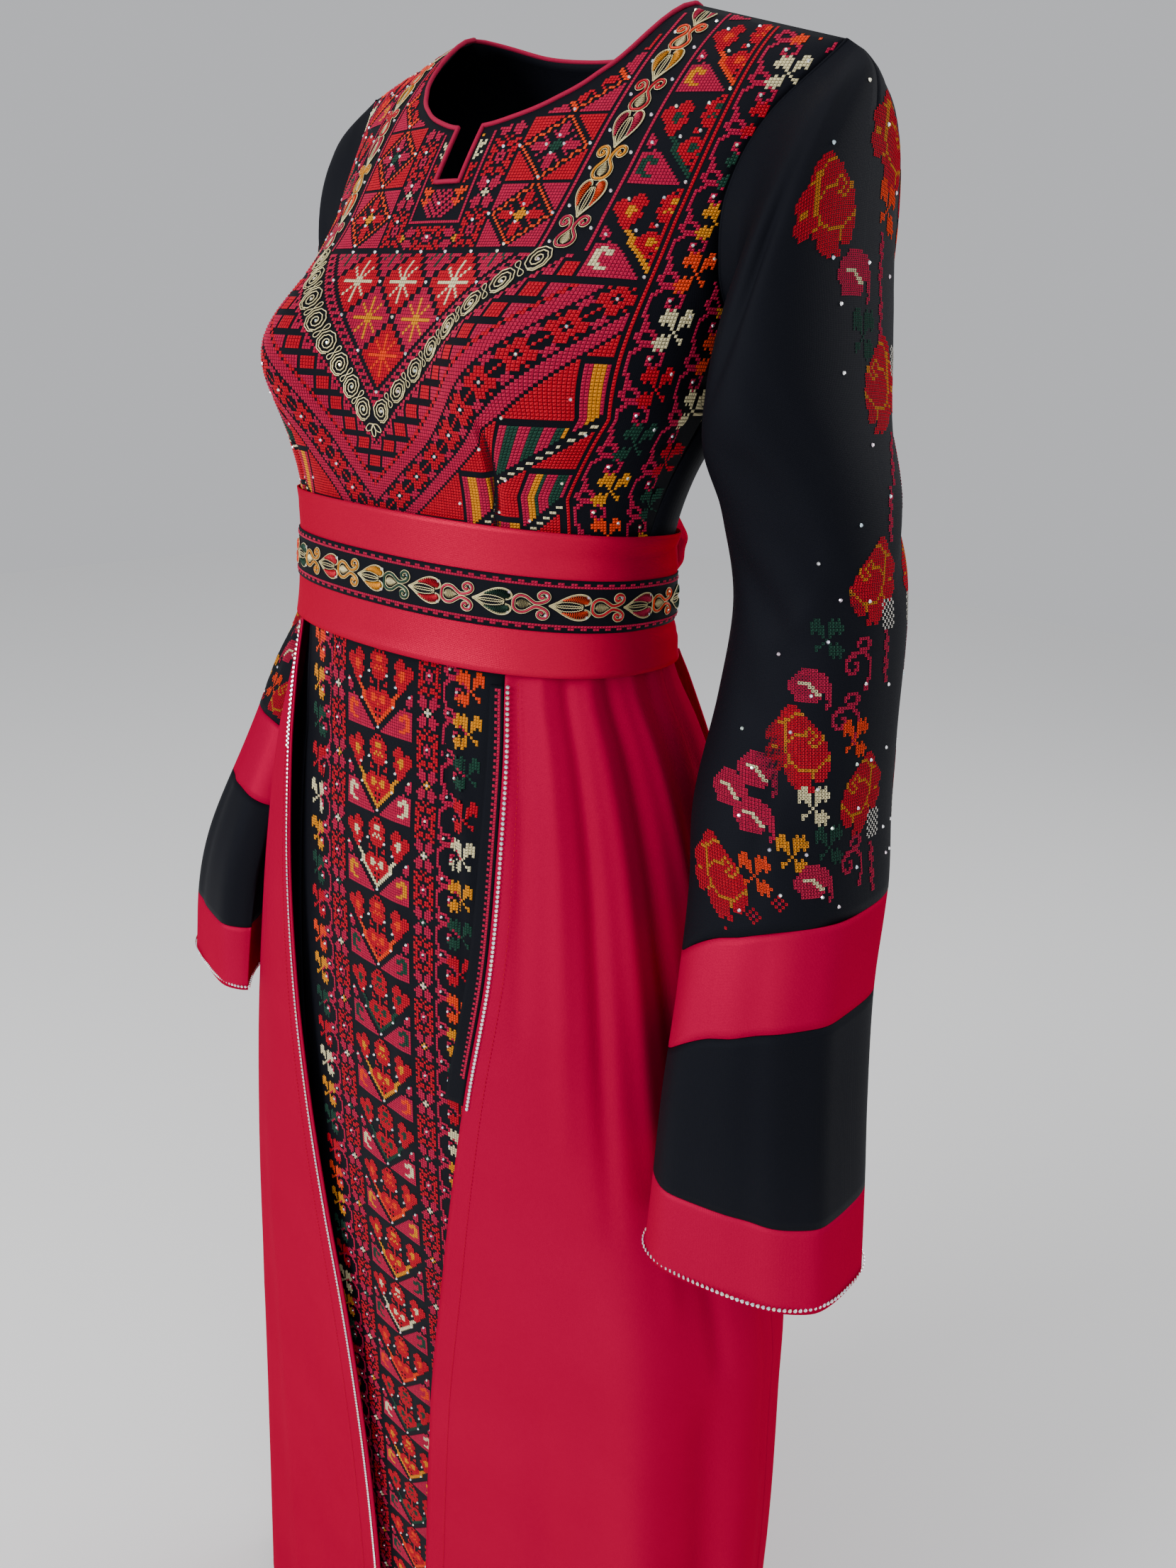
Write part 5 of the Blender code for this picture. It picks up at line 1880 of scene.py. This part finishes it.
band_ground = Canvas(band_surface, np.linspace(-BAND_REACH, BAND_REACH, 961), band_level)
comb = blank(BAND_ROWS, 2 * BAND_HALF)
comb[[2, 17], :] = "p"
comb[np.ix_([1, 18], np.arange(2 * BAND_HALF) % 4 < 2)] = "p"
band_ground.sew("belt_band_stitches", comb, -BAND_HALF, 0, 12)
band_ground.net(-185, 185, 0, BAND_ROWS)
band_lines = []
band_spots = []
for k in range(-7, 8):
    start = 54.3 + 24.0 * k
    for shift, kind, tint in ((0.0, lyre_lines, "proyygp"[k % 7]), (11.5, leaf_lines, "opgryrg"[k % 7])):
        band_lines += laid(band_ground, kind(tint), start + shift, 10.0, 0.0, 0.88, 1.2)
        band_spots += [(start + shift - 0.8, 6.2), (start + shift - 0.8, 13.8)]
couch("belt_band_cords", [line for line in band_lines if np.isfinite(line[0]).all()], metal, "crystal_trim")
gems("belt_band_stones", band_ground, band_spots, LARGE_GEM_RADIUS, 23)

# ------------------------------------------------------ skirt panel stitches
SKIRT_HALF = 45
SKIRT_ROWS = 620
SKIRT_NET_FOOT = 560
SKIRT_STEP = 14.4


def rows_down(path, marks):
    """Mark that each stitch row reaches, counted along a path."""
    run = run_along(path) * GRADE / STITCH
    return lambda row: np.interp(row, run, marks)


def skirt_chart():
    """Half of the skirt panel, from its centre outwards."""
    chart = blank(SKIRT_ROWS, SKIRT_HALF)
    for i in range(22):
        stamp(chart, dyed(CUP_CHART, a="goycogy"[i % 7], b="gocyg"[i % 5]), CUP_ROWS * i - 27, 0)
    flower_run(chart, -10, 19, 26, "gcyc")
    for i in range(44):
        stamp(chart, VINE[:15], int(SKIRT_STEP * i) + 3, 29)
        stamp(chart, dyed(SPRIG, a="oygrcygr"[i % 8]), int(SKIRT_STEP * i) + 4, 34)
    return chart


skirt_z = np.linspace(-0.398, HEM_Z + 0.02, 900)
skirt_ground = Canvas(under_cloth, np.linspace(-60.0, 60.0, 601),
                      rows_down(under_point(0.0 * skirt_z, skirt_z), skirt_z))
skirt_ground.sew_halves(("skirt_stitches_left", "skirt_stitches_right"), skirt_chart(), 0,
                        SKIRT_NET_FOOT, (5, 6))
skirt_spots = [(c, float(CUP_ROWS) * k + r) for k in range(18)
               for c, r in ((0.5, 0.5), (4.5, 12.0), (9.0, 15.0), (15.5, 17.0), (8.0, 22.0))]
skirt_spots += [(c, r + pitch * k) for c, r, pitch, count in (
    (23.5, 8.0, LATTICE_ROWS, 22), (23.5, 20.5, LATTICE_ROWS, 21), (34.5, 11.5, SKIRT_STEP, 37),
    (31.5, 4.5, SKIRT_STEP, 37)) for k in range(count)]
gem_halves("skirt_stones", skirt_ground, skirt_spots, 24)


# ----------------------------------------------------------- sleeve stitches
def grown(chart, high, wide):
    """Chart worked over more rows and columns."""
    rows = np.linspace(0, chart.shape[0] - 1, high).round().astype(int)
    cols = np.linspace(0, chart.shape[1] - 1, wide).round().astype(int)
    return chart[np.ix_(rows, cols)]


BIG_BLOOM = grown(BLOOM, 28, 25)
BIG_ROSE = BIG_BLOOM[:, ::-1]
BIG_SPRIG = grown(SPRIG, 14, 12)
BIG_BUD = grown(BUD, 14, 17)

# kind, accent, column from the fold, row
SLEEVE_MOTIFS = [
    (BIG_BLOOM, "r", 14, 33), (BIG_BLOOM, "r", 44, 52), (BIG_SPRIG, "o", 13, 51),
    (STEM, "p", 15, 66), (STEM, "p", 14, 82), (BIG_BUD, "p", 30, 71), (BIG_SPRIG, "g", 25, 86),
    (BIG_ROSE, "r", 13, 99), (CHECKER, "w", 1, 90), (STEM, "o", 6, 120), (STEM, "o", 8, 136),
    (ROSE, "r", 15, 154), (CHECKER, "w", 9, 164), (SPRIG, "g", 33, 170), (STEM, "r", 10, 177),
    (BUD, "p", 38, 185), (VINE, "p", 23, 178), (VINE, "p", 27, 194), (BLOOM, "r", 42, 202),
    (SPRIG, "o", 23, 200), (BUD, "p", 54, 211), (BUD, "p", 63, 218), (BUD, "p", 55, 224),
    (SPRIG, "c", 37, 219), (ROSE, "r", 18, 217), (CHECKER, "w", 11, 228), (SPRIG, "g", 32, 231),
    (SPRIG, "y", 44, 233), (SPRIG, "o", 56, 240), (BUD, "p", 38, 242), (STEM, "r", 12, 242),
    (VINE, "p", 23, 238), (BLOOM, "r", 69, 243), (GEM, "r", 49, 247), (GEM, "r", 57, 252),
    (GEM, "r", 66, 260),
]
SLEEVE_GEMS = [
    (41, 66), (23, 67), (37, 78), (8, 68), (30, 20), (44, 36), (20, 116), (36, 96), (24, 138),
    (36, 148), (9, 131), (18, 160), (33, 171), (38, 187), (20, 184), (8, 186), (44, 198), (22, 208),
    (36, 214), (56, 210), (60, 224), (31, 226), (20, 222), (40, 233), (51, 232), (36, 246),
    (30, 250), (49, 245), (21, 240), (62, 252), (15, 208), (6, 206), (4, 232), (28, 159), (48, 176),
    (60, 200), (2, 241), (18, 30), (6, 44),
]
SLEEVE_HALF = 80
SLEEVE_ROWS = 275
SLEEVE_NET_FOOT = 262
SLEEVE_OUTER_TURN = 12.0

# row, column of the sleeve's pressed fold from its outer line
FOLD_LINE = np.array([
    [0.0, -26.0],
    [107.0, -26.0],
    [117.0, -19.0],
    [133.0, -13.0],
    [156.0, -7.0],
    [202.0, -10.0],
    [275.0, -17.0],
])


def sleeve_fold(row):
    return np.interp(row, FOLD_LINE[:, 0], FOLD_LINE[:, 1])


def sleeve_chart():
    """Flowers of one sleeve, from the pressed fold towards the front."""
    chart = blank(SLEEVE_ROWS, SLEEVE_HALF)
    for art, accent, col, row in SLEEVE_MOTIFS:
        high, wide = art.shape
        stamp(chart, dyed(art, a=accent), row - high // 2, col - wide // 2)
    return chart


sleeve_half = sleeve_chart()
for label, side in SIDES:
    cloth = sleeve_cloth(side, SLEEVE_CREASES)
    sweep = np.linspace(-150.0, 200.0, 701)
    line = np.linspace(-0.9, 10.2, 700)
    levels = rows_down(cloth.point(np.full_like(line, SLEEVE_OUTER_TURN), line), line)
    ground = Canvas(cloth, sweep, levels, shift=sleeve_fold, limit=seam_row(sweep, 0, side))
    ground.sew_halves(("sleeve_stitches_front_" + label, "sleeve_stitches_back_" + label), sleeve_half, 0,
                      SLEEVE_NET_FOOT, (8, 9), SLEEVE_STITCH_GAP)
    spots = SLEEVE_GEMS + [(-c, r) for c, r in SLEEVE_GEMS]
    gems("sleeve_stones_" + label, ground, spots, LARGE_GEM_RADIUS, 26)

# ------------------------------------------------------------ stones, piping
EDGE_RADIUS = 0.165
EDGE_TOP_Z = -0.411
STRIP_FOOT_Z = -0.712
STRIP_REACH = 4.3
TOPSTITCH_TOP_Z = -0.408
TOPSTITCH_FOOT_Z = -1.60


def beside_edge(z, inset, left):
    """Angle of a line set in from an overskirt front edge."""
    angle = over_edge(z, left) + np.degrees(inset / EDGE_RADIUS) * (1.0 if left else -1.0)
    return angle + (0.0 if left else 360.0)


def edge_stones(name, inset, foot, left, node):
    """Row of stones down a front edge of the overskirt."""
    z = np.linspace(EDGE_TOP_Z, foot, 700)
    angle = beside_edge(z, inset, left)
    path, share = along_path(GRADE * over_point(angle, z, 0.0008), TRIM_PITCH)
    far, _ = along_path(GRADE * over_point(angle, z, 0.0108), TRIM_PITCH)
    stones(name, path, between(far, share) - path, TRIM_RADIUS, 7, node)


edge_stones("edge_stones_left", 0.0030, STRIP_FOOT_Z, True, "edge_trim_left")
edge_stones("edge_stones_right", 0.0030, -1.49, False, "edge_trim_right")
edge_stones("edge_stones_inner", 0.0068, -0.500, False, "edge_trim_right")
for label, side in SIDES:
    turn = np.linspace(0.0, 360.0, 400)
    row = np.full_like(turn, float(sleeve_row(CUFF_TRIM_Z)))
    points = sleeve_point(turn, row, side)
    away = (points - points[:-1].mean(axis=0)) * np.array([1.0, 1.0, 0.0])
    away = away / np.linalg.norm(away, axis=1, keepdims=True)
    path, share = along_path(GRADE * (points + away * 0.0008), TRIM_PITCH)
    stones("cuff_stones_" + label, path[:-1], between(away, share)[:-1], TRIM_RADIUS, 11,
           "cuff_trim_" + label)


def neck_path(lift):
    """Loop of the neck opening with its slit, in real metres."""
    turn = np.linspace(0.0, 1.0, 60)
    share = NECK_SHARE + (SLIT_SHARE - NECK_SHARE) * turn
    right = front_point(share, column_top(share, True))
    z = np.linspace(SLIT_TOP_Z, SLIT_FOOT_Z, 16)[1:]
    side = front_point(np.full_like(z, SLIT_SHARE), z)
    share = np.linspace(SLIT_SHARE, 0.0, 6)[1:]
    foot = front_point(share, np.full_like(share, SLIT_FOOT_Z))
    half = np.concatenate([right, side, foot])
    flip = half[::-1][1:] * np.array([-1.0, 1.0, 1.0])
    share = np.linspace(-NECK_SHARE, NECK_SHARE, 70)[1:-1]
    back = back_point(share, column_top(share, False))
    loop = np.concatenate([half, flip, back])
    return GRADE * (loop + np.array([0.0, 0.0, lift]))


def armhole_path(side):
    """Loop in the seam between the bodice and a sleeve, in real metres."""
    turn = np.linspace(0.0, 360.0, 121)[:-1]
    loop = sleeve_point(turn, np.full_like(turn, -1.0), side)
    away = (loop - loop.mean(axis=0)) * np.array([0.0, 1.0, 1.0])
    away = away / np.linalg.norm(away, axis=1, keepdims=True)
    return GRADE * (loop - 0.0008 * away - np.array([SEAM_GAP * side, 0.0, 0.0]))


for label, side in SIDES:
    cord("armhole_seam_" + label, armhole_path(side), 0.0010, crepe, "black_crepe")
cord("neck_piping", neck_path(0.0004), 0.0014, rose_cloth, "rose_piping", "neck_binding")


def strip_point(wide, z):
    """Narrow black strip inside the left front edge."""
    return over_point(over_edge(z, True) - 0.15 - wide, z, -0.0016)


strip_surface = Surface(strip_point, (0.2, 0.001), -1.0)
cut_cloth("edge_strip_cloth_left", strip_surface,
          skirt_place(STRIP_FOOT_Z, EDGE_TOP_Z, ring(0.0), ring(STRIP_REACH)), (6, 80), crepe, THIN_WALL,
          (0.014, 0.28))
strip_ground = Canvas(strip_surface, np.linspace(0.0, STRIP_REACH, 60),
                      lambda row: -0.413 - np.asarray(row, dtype=float) * STITCH / GRADE)
teeth = blank(140, 2)
teeth[:, 0] = "p"
teeth[::2, 1] = "p"
strip_ground.sew("edge_strip_stitches", teeth, 1, 0, 14)


def topstitch(name, inset, left):
    """Short stitches of matching thread beside a front edge."""
    z = np.linspace(TOPSTITCH_TOP_Z, TOPSTITCH_FOOT_Z, 900)
    path, _ = along_path(GRADE * over_point(beside_edge(z, inset, left), z, 0.0004), 0.0016)
    dashes = [(path[k:k + 2], 0.00016, "r") for k in range(0, len(path) - 1, 2)]
    couch(name, dashes, thread, "crimson_satin")


topstitch("topstitch_left", 0.0120, True)
topstitch("topstitch_right", 0.0130, False)

# ------------------------------------------------------ floor, light, camera
FLOOR_Z = -1.530
paper = Cloth("studio_floor", Base_Color=(0.93, 0.93, 0.92, 1.0), Roughness=0.9)
work = bmesh.new()
bmesh.ops.create_grid(work, x_segments=1, y_segments=1, size=6.0)
bmesh.ops.translate(work, verts=work.verts, vec=(0.0, 0.0, FLOOR_Z))
floor = made("floor", work, paper.mat, smooth=False)

world = bpy.data.worlds.new("studio")
world.use_nodes = True
sky = world.node_tree.nodes["Background"].inputs
sky["Color"].default_value = (0.95, 0.96, 1.0, 1.0)
sky["Strength"].default_value = 0.60
bpy.context.scene.world = world

# name, place, aimed at, width, power
LAMPS = [
    ("key", (-0.9, -3.1, 0.9), (0.0, 0.0, -0.5), 1.6, 118.0),
    ("fill", (2.6, -2.0, 0.5), (0.0, 0.0, -0.6), 2.4, 27.0),
    ("top", (0.3, 0.2, 2.2), (0.0, 0.0, -0.2), 2.0, 20.0),
    ("back", (1.6, 2.6, 0.8), (0.0, 0.0, -0.5), 1.6, 26.0),
]
for name, place, aim, wide, power in LAMPS:
    lamp = bpy.data.lights.new(name, "AREA")
    lamp.energy = power
    lamp.size = wide
    item = bpy.data.objects.new(name, lamp)
    item.location = place
    item.rotation_euler = (Vector(aim) - Vector(place)).to_track_quat("-Z", "Y").to_euler()
    bpy.context.scene.collection.objects.link(item)

CAMERA_PLACE = Vector((0.5428, -0.5860, -0.1941))
AZIMUTH = math.radians(40.2)
PITCH = math.radians(20.6)
ROLL = math.radians(3.0)
lens = bpy.data.cameras.new("camera")
lens.sensor_width = 36.0
lens.lens = 27.05
lens.clip_start = 0.02
back = Vector((math.sin(AZIMUTH) * math.cos(PITCH), -math.cos(AZIMUTH) * math.cos(PITCH), math.sin(PITCH)))
level = Vector((math.cos(AZIMUTH), math.sin(AZIMUTH), 0.0))
rise = level.cross(-back)
right = math.cos(ROLL) * level + math.sin(ROLL) * rise
upward = math.cos(ROLL) * rise - math.sin(ROLL) * level
camera = bpy.data.objects.new("camera", lens)
camera.matrix_world = Matrix.Translation(CAMERA_PLACE) @ Matrix((right, upward, back)).transposed().to_4x4()
bpy.context.scene.collection.objects.link(camera)
bpy.context.scene.camera = camera
